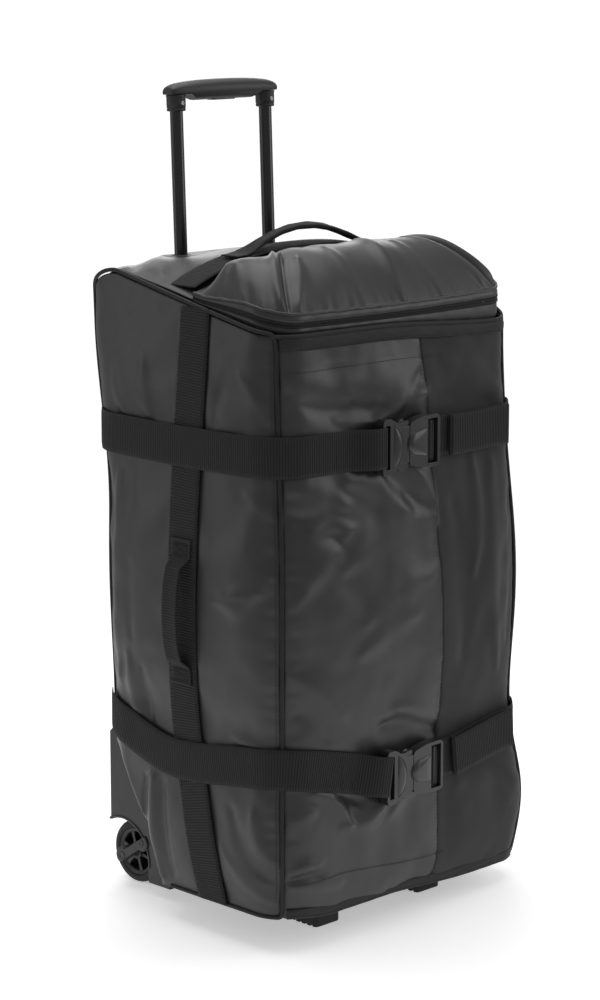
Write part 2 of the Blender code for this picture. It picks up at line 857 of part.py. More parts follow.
def grip_rings():
    """Oval sections along the grip: slim round ends and a fuller middle."""
    rings = []
    for i in range(13):
        t = mix(-1.0, 1.0, i / 12)
        x = GRIP_HALF * math.sin(t * math.pi / 2)
        taper = max(0.16, math.sqrt(max(0.0, 1 - abs(t) ** 3.4)))
        tall = 0.0145 * taper
        deep = 0.0155 * mix(taper, 1.0, 0.35)
        ring = []
        for k in range(12):
            angle = math.tau * k / 12
            ring.append(Vector((x, deep * math.cos(angle), GRIP_CENTRE + tall * math.sin(angle))))
        rings.append(ring)
    return rings


def tube(name, radius, foot, top, centre, frame):
    bore = radius - TUBE_WALL
    profile = [(radius, foot), (radius, top), (bore, top), (bore, foot)]
    turned(name, profile, 16, "tube_metal", centre=centre, parent=frame)


def make_trolley():
    frame = empty("trolley_frame", (0.0, TUBE_FLOOR_Y, 0.0), (-LEAN, 0.0, 0.0))
    half = TUBE_SPACING / 2
    for side, name in tube_places():
        centre = (side * half, 0.0, 0.0)
        tube("inner_tube_" + name, INNER_TUBE_RADIUS, INNER_TUBE_FOOT, COLLAR_TOP, centre, frame)
        tube("outer_tube_" + name, OUTER_TUBE_RADIUS, OUTER_TUBE_FOOT, OUTER_TUBE_TOP, centre, frame)
        seat = INNER_TUBE_RADIUS + GAP
        collar = [
            (COLLAR_RADIUS - 0.0004, COLLAR_FOOT),
            (COLLAR_RADIUS, COLLAR_FOOT + 0.002),
            (COLLAR_RADIUS, COLLAR_TOP),
            (seat, COLLAR_TOP),
            (seat, COLLAR_FOOT),
        ]
        turned("handle_collar_" + name, collar, 18, "moulded_plastic", centre=centre, parent=frame)
        head = (-COLLAR_RADIUS - 0.0016, -COLLAR_RADIUS - 0.0003)
        screw_centre = (side * half, 0.0, COLLAR_FOOT + 0.010)
        rod("collar_screw_" + name, 0.0034, *head, 12, "steel", axis="Y", centre=screw_centre, parent=frame)
    grip = loft("handle_grip", grip_rings(), "moulded_plastic", smooth=60.0, parent=frame)
    for side, name in tube_places():
        low, high = sorted((side * 0.0640, side * 0.12))
        seat_top = COLLAR_TOP + GAP
        seat = box("grip_seat_" + name, (low, -0.03, 0.98), (high, 0.03, seat_top), "moulded_plastic", frame)
        cut(grip, helper(seat))
    room = box("button_room", (-0.0205, -0.0075, 0.99), (0.0205, 0.0075, 1.0215), "moulded_plastic", frame)
    cut(grip, helper(room))
    button = box("release_button", (-0.020, -0.0070, 1.0068), (0.020, 0.0070, 1.0178), "hard_plastic", frame)
    bevel(button, 0.0015)
    bezel_outline = ((-0.112, BEZEL_FOOT), (0.112, BEZEL_FOOT), (0.112, 0.800), (0.098, BEZEL_TOP),
                     (-0.098, BEZEL_TOP), (-0.112, 0.800))
    bezel = prism("trolley_bezel", bezel_outline, -0.021, 0.021, "moulded_plastic", axis="Y", parent=frame)
    bevel(bezel, 0.003)
    for side, name in tube_places():
        hole = rod("bezel_hole_" + name, INNER_TUBE_RADIUS + 0.0006, 0.70, 0.90, 16, "moulded_plastic",
                   centre=(side * half, 0.0, 0.0), parent=frame)
        cut(bezel, helper(hole))
    bracket_top = OUTER_TUBE_FOOT - GAP
    box("trolley_bracket", (-0.108, -0.015, 0.046), (0.108, 0.015, bracket_top), "moulded_plastic", frame)
    box("inner_liner", (-0.172, -0.026, 0.046), (0.172, -0.024, 0.772), "lining", frame)
    box("back_board", (-0.170, 0.026, 0.046), (0.170, 0.029, 0.735), "hard_plastic", frame)
    return frame


# Wheels

ARM_ENDS = ((WHEEL_Y, WHEEL_RADIUS), (0.122, 0.067))
ARM_RADIUS = 0.0115


def wheel_room_outline():
    """Arch over the wheel, open behind and below."""
    radius = WHEEL_RADIUS + 0.0075
    points = arc((WHEEL_Y, WHEEL_RADIUS), radius, 180, 60, 8)
    return [(WHEEL_Y - radius, -0.01)] + points + [(0.205, points[-1][1]), (0.205, -0.01)]


def housing_outline(grow=0.0):
    front = [(y - grow, z) for z, y in HOUSING_EDGE]
    top = HOUSING_EDGE[-1][0] + grow
    floor = HOUSING_EDGE[0][0] - grow
    rear = 0.183 + grow
    front[0] = (front[0][0], floor)
    front[-1] = (front[-1][0], top)
    return front + [(0.172 + grow, top), (rear, top - 0.011), (rear, floor)]


POCKET = ((0.1785, 0.205), (0.1785, 0.096), (0.160, 0.0965), (0.136, 0.093), (0.112, 0.076), (0.104, 0.058),
          (0.076, 0.058), (0.080, 0.088), (0.092, 0.113), (0.110, 0.138), (0.128, 0.163), (0.144, 0.187),
          (0.155, 0.205))


def spoked_plate(name, radii, steps, spokes, low, high, centre, finish):
    """A plate of polar cells: full rings, with the middle ring open except at its spokes."""
    bands = len(radii) - 1
    open_band = 1
    per_spoke = steps // spokes

    def filled(band, step):
        return band != open_band or (step % per_spoke) < 2

    vertices = []
    for height in (low, high):
        for radius in radii:
            for i in range(steps):
                angle = math.tau * i / steps
                offset = Vector((height, radius * math.cos(angle), radius * math.sin(angle)))
                vertices.append(Vector(centre) + offset)
    layer = len(radii) * steps

    def at(level, ring, step):
        return level * layer + ring * steps + step % steps

    faces = []
    for band in range(bands):
        for i in range(steps):
            if not filled(band, i):
                continue
            faces.append((at(0, band, i), at(0, band + 1, i), at(0, band + 1, i + 1), at(0, band, i + 1)))
            faces.append((at(1, band, i), at(1, band, i + 1), at(1, band + 1, i + 1), at(1, band + 1, i)))
            if band == 0 or not filled(band - 1, i):
                faces.append((at(0, band, i), at(0, band, i + 1), at(1, band, i + 1), at(1, band, i)))
            rim = band + 1
            if band == bands - 1 or not filled(band + 1, i):
                faces.append((at(0, rim, i), at(1, rim, i), at(1, rim, i + 1), at(0, rim, i + 1)))
            for step, ahead in ((i, i - 1), (i + 1, i + 1)):
                if not filled(band, ahead % steps):
                    faces.append((at(0, band, step), at(1, band, step), at(1, rim, step), at(0, rim, step)))
    used = sorted({index for face in faces for index in face})
    renumber = {old: new for new, old in enumerate(used)}
    vertices = [vertices[index] for index in used]
    faces = [tuple(renumber[index] for index in face) for face in faces]
    return solid(name, vertices, faces, finish)


def make_wheel(side, name):
    centre = (0.0, WHEEL_Y, WHEEL_RADIUS)

    def between(near, far):
        """The two X values, lowest first, of distances from the bag's middle."""
        return sorted((side * near, side * far))

    housing_reach = between(HOUSING_INNER_X, HOUSING_OUTER_X)
    pocket_reach = between(0.10, HOUSING_OUTER_X - 0.004)
    housing = prism("wheel_housing_" + name, housing_outline(), *housing_reach, "moulded_plastic", axis="X")
    room = prism("wheel_room_" + name, wheel_room_outline(), *between(HOUSING_WEB_X, 0.20), "rubber", axis="X")
    pocket = prism("housing_pocket_" + name, POCKET, *pocket_reach, "rubber", axis="X")
    bar = capsule(*ARM_ENDS, ARM_RADIUS)
    recess = capsule(*ARM_ENDS, ARM_RADIUS + GAP)
    arm = prism("axle_arm_" + name, bar, *between(0.1610, 0.1795), "moulded_plastic", axis="X")
    seat = prism("arm_seat_" + name, recess, *between(0.1607, 0.20), "rubber", axis="X")
    bore_radius = AXLE_RADIUS + GAP
    bore_reach = between(0.1165, 0.1655)
    bore = rod("axle_bore_" + name, bore_radius, *bore_reach, 16, "steel", axis="X", centre=centre)
    for cutter in (room, pocket, seat, bore):
        helper(cutter)
        cut(housing, cutter)
    cut(arm, bore)
    rod("axle_" + name, AXLE_RADIUS, *between(0.1169, 0.1651), 16, "steel", axis="X", centre=centre)
    low, high = between(WHEEL_OUTER_X - WHEEL_WIDTH, WHEEL_OUTER_X)
    radii = (bore_radius, 0.0100, 0.0258, 0.0310)
    faces = (low + 0.0015, high - 0.0015)
    hub = spoked_plate("wheel_hub_" + name, radii, 30, 6, *faces, centre, "moulded_plastic")
    tread = [
        (0.0314, low + 0.001),
        (0.0375, low),
        (0.0405, low + 0.003),
        (WHEEL_RADIUS, low + 0.007),
        (WHEEL_RADIUS, high - 0.007),
        (0.0405, high - 0.003),
        (0.0375, high),
        (0.0314, high - 0.001),
    ]
    tyre = turned("tyre_" + name, tread, 32, "rubber", axis="X", centre=centre)
    pivot = empty("wheel_axis_" + name, centre)
    for obj in (hub, tyre):
        obj.parent = pivot
        obj.matrix_parent_inverse = Matrix.Translation(centre).inverted()


def make_room_for_housings():
    """Clears the panels where the moulded wheel housings stand."""
    names = ("side_panel_left", "side_panel_right", "back_panel", "base_panel", "back_board", "inner_liner")
    targets = [bpy.data.objects[name] for name in names]
    clearance = 0.0008
    for side, name in ((-1, "left"), (1, "right")):
        low, high = sorted((side * 0.26, side * (HOUSING_INNER_X - clearance)))
        room = prism("housing_room_" + name, housing_outline(clearance), low, high, "rubber", axis="X")
        helper(room)
        for target in targets:
            if not target.name.startswith("side_panel_") or target.name.endswith(name):
                cut(target, room)


def make_room_for_bezel(frame):
    room = box("bezel_room", (-0.113, -0.022, 0.74), (0.113, 0.022, 0.90), "rubber", frame)
    helper(room)
    cut(bpy.data.objects["top_panel"], room)


def build():
    clear_scene()
    make_panels()
    make_base()
    make_piping()
    make_webbing()
    make_straps()
    for name, buckle_z, _ in buckle_levels():
        make_buckle(name, buckle_z)
    make_lid()
    make_zip()
    frame = make_trolley()
    for side, name in ((-1, "left"), (1, "right")):
        make_wheel(side, name)
    make_room_for_housings()
    make_room_for_bezel(frame)


build()
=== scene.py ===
"""Looks of the rolling duffel bag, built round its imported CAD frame. Metres, +X width, -Y front, +Z up."""

import math

import bmesh
import bpy
import numpy as np
from mathutils import Matrix, Vector
from mathutils.bvhtree import BVHTree


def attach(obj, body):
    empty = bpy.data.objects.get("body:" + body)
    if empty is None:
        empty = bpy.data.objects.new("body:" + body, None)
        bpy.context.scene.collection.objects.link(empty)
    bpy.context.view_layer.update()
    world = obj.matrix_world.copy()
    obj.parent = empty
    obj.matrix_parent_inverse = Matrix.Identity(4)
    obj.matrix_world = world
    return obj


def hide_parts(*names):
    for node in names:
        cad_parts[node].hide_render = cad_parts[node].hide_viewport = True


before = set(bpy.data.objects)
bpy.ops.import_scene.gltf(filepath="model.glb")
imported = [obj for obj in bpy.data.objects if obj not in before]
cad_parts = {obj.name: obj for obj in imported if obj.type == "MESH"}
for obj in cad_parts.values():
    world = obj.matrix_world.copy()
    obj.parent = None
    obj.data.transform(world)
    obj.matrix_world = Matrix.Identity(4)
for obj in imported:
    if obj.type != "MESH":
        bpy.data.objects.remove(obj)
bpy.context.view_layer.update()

# Body form, the same driving dimensions as the CAD's
HALF_WIDTH = 0.212
FRONT_DEPTH = 0.170
FRONT_SETBACK = 0.009
BACK_DEPTH = 0.162
BACK_LEAN = 0.035
FRONT_RADIUS = 0.045
BACK_RADIUS = 0.050
BACK_SLUMP = 0.035
BASE_Z = 0.036
FRONT_RIM_Z = 0.748
TOP_SLOPE = 0.213
SHOULDER_Y = 0.115
SHOULDER_RADIUS = 0.070
SIDE_BULGE = 0.010
FRONT_BULGE = 0.014
BACK_BULGE = 0.003
BULGE_TOP_Z = 0.810
TOP_CROWN = 0.044
TOP_CROWN_HALF = 0.215
HINGE_Y = -0.018
LID_INSET = 0.0076
ZIP_RISE = 0.012
SEAM_RISE = 0.026
LID_CROWN = 0.020

# Cloth, a little thinner than the CAD's panels
FABRIC = 0.0022

# Webbing, a little thicker than the CAD's because of its ribs
WEB_WIDTH = 0.050
WEB_THICKNESS = 0.0018
RIB_PITCH = 0.0034
RIB_DEPTH = 0.00060
BAND_STEP = RIB_PITCH / 6
SIDE_WEB_STAND = 0.0009
STRAP_STAND = 0.0034
UPPER_STRAP_Z = 0.608
LOWER_STRAP_Z = 0.215
LOWER_BUCKLE_Z = LOWER_STRAP_Z - 0.016

# Trolley and wheels
LEAN = math.radians(2.1)
TUBE_FLOOR_Y = 0.118
TUBE_SPACING = 0.155
COLLAR_TOP = 1.0155
WHEEL_RADIUS = 0.0415
WHEEL_Y = 0.160
HOUSING_OUTER_X = 0.177
HOUSING_INNER_X = 0.112

# Buckles
BUCKLE_X = -0.020
BUCKLE_DEPTH = 0.014
BUCKLE_STAND = 0.0062

# Round the bag from the back left seam to the back right seam: each side wall's share, and the front's
SIDE_SHARE = 0.30
FRONT_SHARE = 0.40
FRONT_END = 0.70

CELL = 0.005
SIDES = ((-1.0, "left"), (1.0, "right"))


# Arithmetic on arrays


def mix(a, b, t):
    return a + (b - a) * t


def ease(value):
    """A smooth step from 0 to 1."""
    value = np.clip(value, 0.0, 1.0)
    return value * value * (3 - 2 * value)


def stack(x, y, z):
    return np.stack(np.broadcast_arrays(x, y, z), -1).astype(float)


def unit(vectors):
    return vectors / np.maximum(np.linalg.norm(vectors, axis=-1, keepdims=True), 1e-12)


def grid_normals(points):
    """Outward normals of a grid whose columns run rightwards and rows upwards, seen from outside."""
    across = np.gradient(points, axis=1)
    along = np.gradient(points, axis=0)
    return unit(np.cross(across, along))


def bump(value, centre, width):
    """A rounded hill of height 1."""
    return np.exp(-(((value - centre) / width) ** 2))


def travelled(points):
    """Distance along a line at each of its points."""
    return np.concatenate([[0], np.cumsum(np.linalg.norm(np.diff(points, axis=0), axis=1))])


def interpolated(stops, run, values):
    """Rows of values read at new distances along a line."""
    return np.stack([np.interp(stops, run, column) for column in values.T], 1)


# Body form


def spread(z):
    """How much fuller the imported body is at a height."""
    return 0.010 * bump(z, 0.40, 0.15) + 0.014 * bump(z, 0.11, 0.10)


def upright(z):
    """Share of the walls' bulge at a height: none at the base and the top."""
    t = 2 * np.clip((z - BASE_Z) / (BULGE_TOP_Z - BASE_Z), 0, 1) - 1
    return 1 - t**4


def back_y(z):
    return BACK_DEPTH + BACK_LEAN * z


def front_reach(z):
    """How far the front stands forward; it leans back a little towards the rim."""
    return FRONT_DEPTH + spread(z) - FRONT_SETBACK * ease((z - 0.45) / 0.30)


def back_radius(z):
    """Radius of the back corners, rounder below the frame of the top."""
    return BACK_RADIUS + BACK_SLUMP * (1 - ease((z - 0.50) / 0.24)) - 0.010 * (1 - ease((z - 0.15) / 0.25))


def side_top(y):
    """Height of the side panel's top edge."""
    reach = np.clip(y - SHOULDER_Y, 0, SHOULDER_RADIUS)
    drop = SHOULDER_RADIUS - np.sqrt(SHOULDER_RADIUS**2 - reach**2)
    return FRONT_RIM_Z + TOP_SLOPE * (np.minimum(y, SHOULDER_Y) + FRONT_DEPTH) - drop


def wall_length(name, z):
    """Length of a wall's plan at a height, up to the middle of each corner."""
    half = HALF_WIDTH + spread(z)
    if name == "front":
        return 2 * half - 2 * FRONT_RADIUS + FRONT_RADIUS * math.pi / 2
    if name == "back":
        return 2 * half - back_radius(z) * (2 - math.pi / 2)
    return front_reach(z) + back_y(z) - (FRONT_RADIUS + back_radius(z)) * (1 - math.pi / 4)


def wall(name, u, z):
    """Points and outward normals on one wall; u runs front to back, or left to right."""
    u, z = np.broadcast_arrays(np.asarray(u, float), np.asarray(z, float))
    half = HALF_WIDTH + spread(z)
    front = -front_reach(z)
    corner = back_radius(z)
    back = back_y(z)
    side = -1.0 if name == "left" else 1.0
    if name == "front":
        start = np.stack([-half + FRONT_RADIUS, front], -1)
        facing, along = np.array([0.0, -1.0]), np.array([1.0, 0.0])
        straight = 2 * (half - FRONT_RADIUS)
        first, last, bulge = FRONT_RADIUS, FRONT_RADIUS, FRONT_BULGE
    elif name == "back":
        start = np.stack([-half + corner, back], -1)
        facing, along = np.array([0.0, 1.0]), np.array([1.0, 0.0])
        straight = 2 * (half - corner)
        first, last, bulge = corner, corner, BACK_BULGE
    else:
        start = np.stack([side * half, front + FRONT_RADIUS], -1)
        facing, along = np.array([side, 0.0]), np.array([0.0, 1.0])
        straight = back - corner - front - FRONT_RADIUS
        first, last, bulge = FRONT_RADIUS, corner, SIDE_BULGE
    entry = first * math.pi / 4
    distance = u * (entry + straight + last * math.pi / 4)
    before = np.minimum(distance - entry, 0.0) / first
    after = np.maximum(distance - entry - straight, 0.0) / last
    angle = (before + after)[..., None]
    normal = facing * np.cos(angle) + along * np.sin(angle)
    radius = np.where(distance < entry, first, last)[..., None]
    travel = np.clip(distance - entry, 0.0, straight)[..., None]
    plan = start + along * travel + (normal - facing) * radius
    plan = plan + normal * (bulge * np.sin(math.pi * np.clip(u, 0, 1)) * upright(z))[..., None]
    points = np.concatenate([plan, z[..., None]], -1)
    return points, np.concatenate([normal, np.zeros_like(z)[..., None]], -1)


# Front edge of the wheel housing, as heights and depths
HOUSING_Z = (0.016, 0.060, 0.090, 0.115, 0.140, 0.165, 0.190, 0.215)
HOUSING_Y = (0.070, 0.068, 0.074, 0.086, 0.104, 0.122, 0.138, 0.150)


def housing_edge(z):
    return np.interp(z, HOUSING_Z, HOUSING_Y) + np.maximum(0, z - HOUSING_Z[-1])


def tucked(points, normals):
    """Draws the side wall in towards the moulded wheel housing."""
    x, y, z = points[..., 0], points[..., 1], points[..., 2]
    near = ease((y - housing_edge(z) + 0.036) / 0.036)
    fade = 1 - ease((z - 0.165) / 0.055)
    reach = np.maximum(0.0, np.abs(x) - HOUSING_OUTER_X - 0.001)
    moved = points.copy()
    moved[..., 0] = x - np.sign(x) * reach * near * fade
    return moved, normals


def side_share(name, y, z):
    """Share of the side wall's length at which it reaches a depth y."""
    reach = y + front_reach(z) - FRONT_RADIUS * (1 - math.pi / 4)
    return np.clip(reach / wall_length(name, z), 0, 1)


def round_bag(t, z):
    """Left, front and right walls in turn; t runs from the back left to the back right seam."""
    t, z = np.broadcast_arrays(np.asarray(t, float), np.asarray(z, float))
    shares = (
        ("left", 1 - t / SIDE_SHARE),
        ("front", (t - SIDE_SHARE) / FRONT_SHARE),
        ("right", (t - FRONT_END) / SIDE_SHARE),
    )
    parts = [tucked(*wall(name, np.clip(u, 0, 1), z)) for name, u in shares]
    where = (t >= SIDE_SHARE).astype(int) + (t >= FRONT_END).astype(int)
    points = np.choose(where[..., None], [p for p, _ in parts])
    return points, np.choose(where[..., None], [n for _, n in parts])


def rim_dip(x, y):
    """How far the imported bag's rim hangs below its pattern at the front right."""
    return 0.013 * ease((x + 0.06) / 0.26) * ease((-0.050 - y) / 0.100)


def slumped(points):
    """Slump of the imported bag: rim and base sink at the front right, and the base lifts at the left."""
    x, y, z = points[..., 0], points[..., 1], points[..., 2]
    dip = rim_dip(x, y) * ease((z - 0.64) / 0.10)
    near_base = 1 - ease((z - BASE_Z) / 0.090)
    edge = ease((np.abs(x) - 0.130) / 0.070)
    sag = 0.008 * ease((x + 0.04) / 0.16) * ease((-0.135 - y) / 0.040)
    lift = 0.007 * ease((-0.10 - x) / 0.09) * edge * (1 - ease((y - 0.02) / 0.05))
    swell = 0.008 * ease((x - 0.08) / 0.10) * bump(z, 0.115, 0.070) * ease((0.10 - y) / 0.15)
    moved = points.copy()
    moved[..., 2] = z - dip + near_base * (lift - sag)
    moved[..., 0] = x + swell
    return moved


DRAPE_T = (0.0, 0.15, 0.29, 0.47, 0.52, 0.67, 0.80, 1.0)
DRAPE_Z = (0.034, 0.003, 0.016, -0.016, -0.016, -0.002, 0.003, 0.034)


def drape(t):
    """Height of the lower strap above its level."""
    step = np.clip(np.searchsorted(DRAPE_T, t, side="right") - 1, 0, len(DRAPE_T) - 2)
    low, high = np.array(DRAPE_T)[step], np.array(DRAPE_T)[step + 1]
    return mix(np.array(DRAPE_Z)[step], np.array(DRAPE_Z)[step + 1], ease((t - low) / (high - low)))


def strap_level(name, t):
    """Height of a strap's middle on its way round the bag."""
    return UPPER_STRAP_Z + 0 * t if name == "upper" else LOWER_STRAP_Z + drape(t)


def webbing_middle(z):
    """Depth of the middle of the vertical webbing on a side."""
    return mix(-0.028, -0.018, ease((0.774 - z) / 0.25)) - 0.042 * ease((0.30 - z) / 0.26)


def top_height(x, y):
    """Height of the top of the bag, behind the lid."""
    crown = TOP_CROWN * (1 - np.clip(np.abs(x) / TOP_CROWN_HALF, 0, 1) ** 2.4)
    forward = 1 - ease((y - 0.01) / 0.13)
    return side_top(y) + crown * mix(0.20, 1.0, forward)


def rim(w):
    """Points and outward normals on the lid's line round the front; w runs left hinge to right hinge."""
    w = np.asarray(w, float)
    level = FRONT_RIM_Z
    side_length, front_length = wall_length("left", level), wall_length("front", level)
    reach = FRONT_RADIUS * math.pi / 4 + (HINGE_Y + front_reach(level) - FRONT_RADIUS)
    distance = w * (2 * reach + front_length)
    parts = (
        wall("left", np.clip((reach - distance) / side_length, 0, 1), level),
        wall("front", np.clip((distance - reach) / front_length, 0, 1), level),
        wall("right", np.clip((distance - reach - front_length) / side_length, 0, 1), level),
    )
    where = (distance >= reach).astype(int) + (distance >= reach + front_length).astype(int)
    points = np.choose(where[..., None], [p for p, _ in parts])
    return points, np.choose(where[..., None], [n for _, n in parts])


def rise(y):
    """Share of the zip band's height, full at the front and low at the hinge."""
    return mix(0.45, 1.0, ease((HINGE_Y - y) / 0.10))


# Meshes


def mesh_object(name, points, faces, material, cloth=None):
    """A mesh object; cloth gives each point its place on the flat material, in metres, for the weave."""
    mesh = bpy.data.meshes.new(name)
    points = np.asarray(points, float).reshape(-1, 3)
    mesh.from_pydata(points.tolist(), [], [list(face) for face in faces])
    mesh.shade_smooth()
    if cloth is not None:
        layer = mesh.attributes.new("cloth", "FLOAT_VECTOR", "POINT")
        layer.data.foreach_set("vector", np.asarray(cloth, np.float32).ravel())
    if material is not None:
        mesh.materials.append(material)
    obj = bpy.data.objects.new(name, mesh)
    bpy.context.scene.collection.objects.link(obj)
    return obj


def grid_faces(rows, columns, closed=False):
    """Quads of a grid, facing out when columns run rightwards; closed joins the last column to the first."""
    index = np.arange(rows * columns).reshape(rows, columns)
    if closed:
        index = np.concatenate([index, index[:, :1]], 1)
    corners = (index[:-1, :-1], index[:-1, 1:], index[1:, 1:], index[1:, :-1])
    return np.stack(corners, -1).reshape(-1, 4)


def rod_faces(rows, columns):
    """Faces of a rod: rows of points that each close on themselves, with a cap at both ends."""
    faces = [list(face) for face in grid_faces(rows, columns, closed=True)]
    cap = list(range(columns))
    return faces + [cap[::-1], [index + (rows - 1) * columns for index in cap]]


def fix_normals(obj, merge=True):
    """Turns the faces of a closed mesh outwards, after merging points that coincide."""
    work = bmesh.new()
    work.from_mesh(obj.data)
    if merge:
        bmesh.ops.remove_doubles(work, verts=work.verts, dist=1e-6)
    bmesh.ops.recalc_face_normals(work, faces=work.faces)
    work.to_mesh(obj.data)
    work.free()


def lengths(points, axis):
    """Distance travelled along one axis of a grid."""
    steps = np.linalg.norm(np.diff(points, axis=axis), axis=-1)
    travelled = np.cumsum(steps, axis=axis)
    start = np.zeros_like(np.take(travelled, [0], axis=axis))
    return np.concatenate([start, travelled], axis)


def flat_places(points):
    """Place of each grid point on the flat cloth."""
    rows, columns = points.shape[:2]
    along = lengths(points[rows // 2][None], 1)[0]
    up = lengths(points[:, columns // 2][:, None], 0)[:, 0]
    return stack(along[None, :], up[:, None], 0.0)


def panel(name, points, material, levels=1, thickness=FABRIC, places=None):
    """A sewn cloth panel: its outer face is the grid, and its thickness goes inwards."""
    places = flat_places(points) if places is None else places
    faces = grid_faces(*points.shape[:2])
    obj = mesh_object(name, points, faces, material, places.reshape(-1, 3))
    if levels:
        smooth = obj.modifiers.new("smooth", "SUBSURF")
        smooth.levels = smooth.render_levels = levels
        smooth.boundary_smooth = "ALL"
    body = obj.modifiers.new("thickness", "SOLIDIFY")
    body.thickness = thickness
    body.offset = -1.0
    return obj


def stand_for(obj, body, slot, *nodes):
    """The piece rides on a body and stands for CAD nodes, which it hides; slot is not used."""
    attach(obj, body)
    if nodes:
        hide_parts(*nodes)
    return obj


# Cloth


def soften_grid(values, rounds):
    """Evens out short wrinkles over a grid, leaving the broad ones."""
    for _ in range(rounds):
        for axis in (0, 1):
            padded = np.concatenate([np.take(values, [0], axis), values, np.take(values, [-1], axis)], axis)
            count = values.shape[axis]
            low, mid, high = (np.take(padded, range(k, k + count), axis) for k in (0, 1, 2))
            values = 0.25 * low + 0.5 * mid + 0.25 * high
    return values


SETTLE_FRAMES = 18
LONGEST_SHIFT = 0.009


def settle(points, hold, growth, pressure, bending):
    """Cloth simulation of a panel cut a little too large, held where hold is 1 and pushed out from inside."""
    rows, columns = points.shape[:2]
    work = mesh_object("cloth_work", points, grid_faces(rows, columns), None)
    group = work.vertex_groups.new(name="held")
    levels = np.round(hold.ravel() * 20) / 20
    for level in np.unique(levels):
        group.add(np.nonzero(levels == level)[0].tolist(), float(level), "REPLACE")
    cloth = work.modifiers.new("cloth", "CLOTH")
    cloth.settings.vertex_group_mass = "held"
    cloth.settings.quality = 4
    cloth.settings.mass = 0.2
    cloth.settings.tension_stiffness = 30
    cloth.settings.compression_stiffness = 30
    cloth.settings.shear_stiffness = 10
    cloth.settings.bending_stiffness = bending
    cloth.settings.shrink_min = -growth
    cloth.settings.use_pressure = True
    cloth.settings.uniform_pressure_force = pressure
    cloth.settings.effector_weights.gravity = 0.2
    cloth.collision_settings.use_collision = False
    cloth.point_cache.frame_end = SETTLE_FRAMES
    scene = bpy.context.scene
    for step in range(1, SETTLE_FRAMES + 1):
        scene.frame_set(step)
    done = work.evaluated_get(bpy.context.evaluated_depsgraph_get())
    moved = np.zeros(rows * columns * 3, np.float32)
    done.data.vertices.foreach_get("co", moved)
    scene.frame_set(1)
    bpy.data.objects.remove(work)
    shift = soften_grid(moved.reshape(points.shape) - points, 5)
    size = np.linalg.norm(shift, axis=-1, keepdims=True)
    limited = LONGEST_SHIFT * np.tanh(size / LONGEST_SHIFT)
    return points + shift * (limited / np.maximum(size, 1e-9))


def crease(s, t, start, end, width, height, bow=0.0):
    """A long soft fold between two places on a surface, raised if its height is above 0."""
    run = np.array(end, float) - np.array(start, float)
    length = np.linalg.norm(run)
    along = ((s - start[0]) * run[0] + (t - start[1]) * run[1]) / length**2
    inside = np.clip(along, 0, 1)
    off = ((s - start[0]) * run[1] - (t - start[1]) * run[0]) / length
    off = off + bow * 4 * inside * (1 - inside)
    past = np.maximum(np.abs(along - 0.5) - 0.5, 0) * length
    thin = width * mix(0.45, 1.0, np.sin(math.pi * inside))
    return height * np.exp(-((off / thin) ** 2)) * np.exp(-((past / (0.6 * width)) ** 2))


def slack(s, t, seed, size, height):
    """Broad uneven waves of loose cloth, from a few crossing sines of fixed seed."""
    random = np.random.default_rng(seed)
    total = np.zeros(np.broadcast(s, t).shape)
    for _ in range(9):
        angle = random.uniform(0, math.pi)
        scale = math.tau / (size * random.uniform(0.6, 1.7))
        wave = s * math.cos(angle) + t * math.sin(angle)
        bend = 0.35 * np.sin(0.6 * scale * (t * math.cos(angle) - s * math.sin(angle)) + random.uniform(0, 6))
        total += np.sin(wave * scale + bend * 4 + random.uniform(0, math.tau))
    return height * total / 3


# Materials


def node(tree, kind, inputs=None, out=0, **settings):
    """Adds a shader node; inputs are values or other nodes' outputs."""
    made = tree.nodes.new("ShaderNode" + kind)
    for key, value in settings.items():
        setattr(made, key, value)
    for socket, value in (inputs or {}).items():
        if isinstance(value, bpy.types.NodeSocket):
            tree.links.new(value, made.inputs[socket])
        else:
            made.inputs[socket].default_value = value
    return made.outputs[out]


def surface(name, roughness=0.5, metallic=0.0, **sockets):
    """A Principled material and its node tree."""
    material = bpy.data.materials.new(name)
    material.use_nodes = True
    tree = material.node_tree
    shader = tree.nodes["Principled BSDF"]
    shader.inputs["Roughness"].default_value = roughness
    shader.inputs["Metallic"].default_value = metallic
    for socket, value in sockets.items():
        shader.inputs[socket.replace("_", " ")].default_value = value
    return material, tree, shader


def noise(tree, place, scale, detail=3.0, roughness=0.55):
    inputs = {"Vector": place, "Scale": scale, "Detail": detail, "Roughness": roughness}
    return node(tree, "TexNoise", inputs)


def math_node(tree, operation, a, b=0.0, c=0.0):
    return node(tree, "Math", {0: a, 1: b, 2: c}, operation=operation)


def remap(tree, value, low, high, start=0.0, end=1.0):
    inputs = {"Value": value, "From Min": low, "From Max": high, "To Min": start, "To Max": end}
    return node(tree, "MapRange", inputs)


def shade(tree, shader, factor, dark, light):
    """Base colour between two tones."""
    colours = {"Factor": factor, "A": (*dark, 1.0), "B": (*light, 1.0)}
    mixer = tree.nodes.new("ShaderNodeMix")
    mixer.data_type = "RGBA"
    for socket in mixer.inputs:
        if socket.enabled and socket.name in colours:
            value = colours[socket.name]
            if isinstance(value, bpy.types.NodeSocket):
                tree.links.new(value, socket)
            else:
                socket.default_value = value
    result = next(s for s in mixer.outputs if s.enabled)
    tree.links.new(result, shader.inputs["Base Color"])
    return result


def relief(tree, shader, layers):
    """Chained bumps; each layer is (height, distance in metres, strength)."""
    normal = None
    for height, distance, strength in layers:
        inputs = {"Height": height, "Distance": distance, "Strength": strength}
        if normal is not None:
            inputs["Normal"] = normal
        normal = node(tree, "Bump", inputs)
    tree.links.new(normal, shader.inputs["Normal"])


def object_place(tree):
    return node(tree, "TexCoord", out=3)


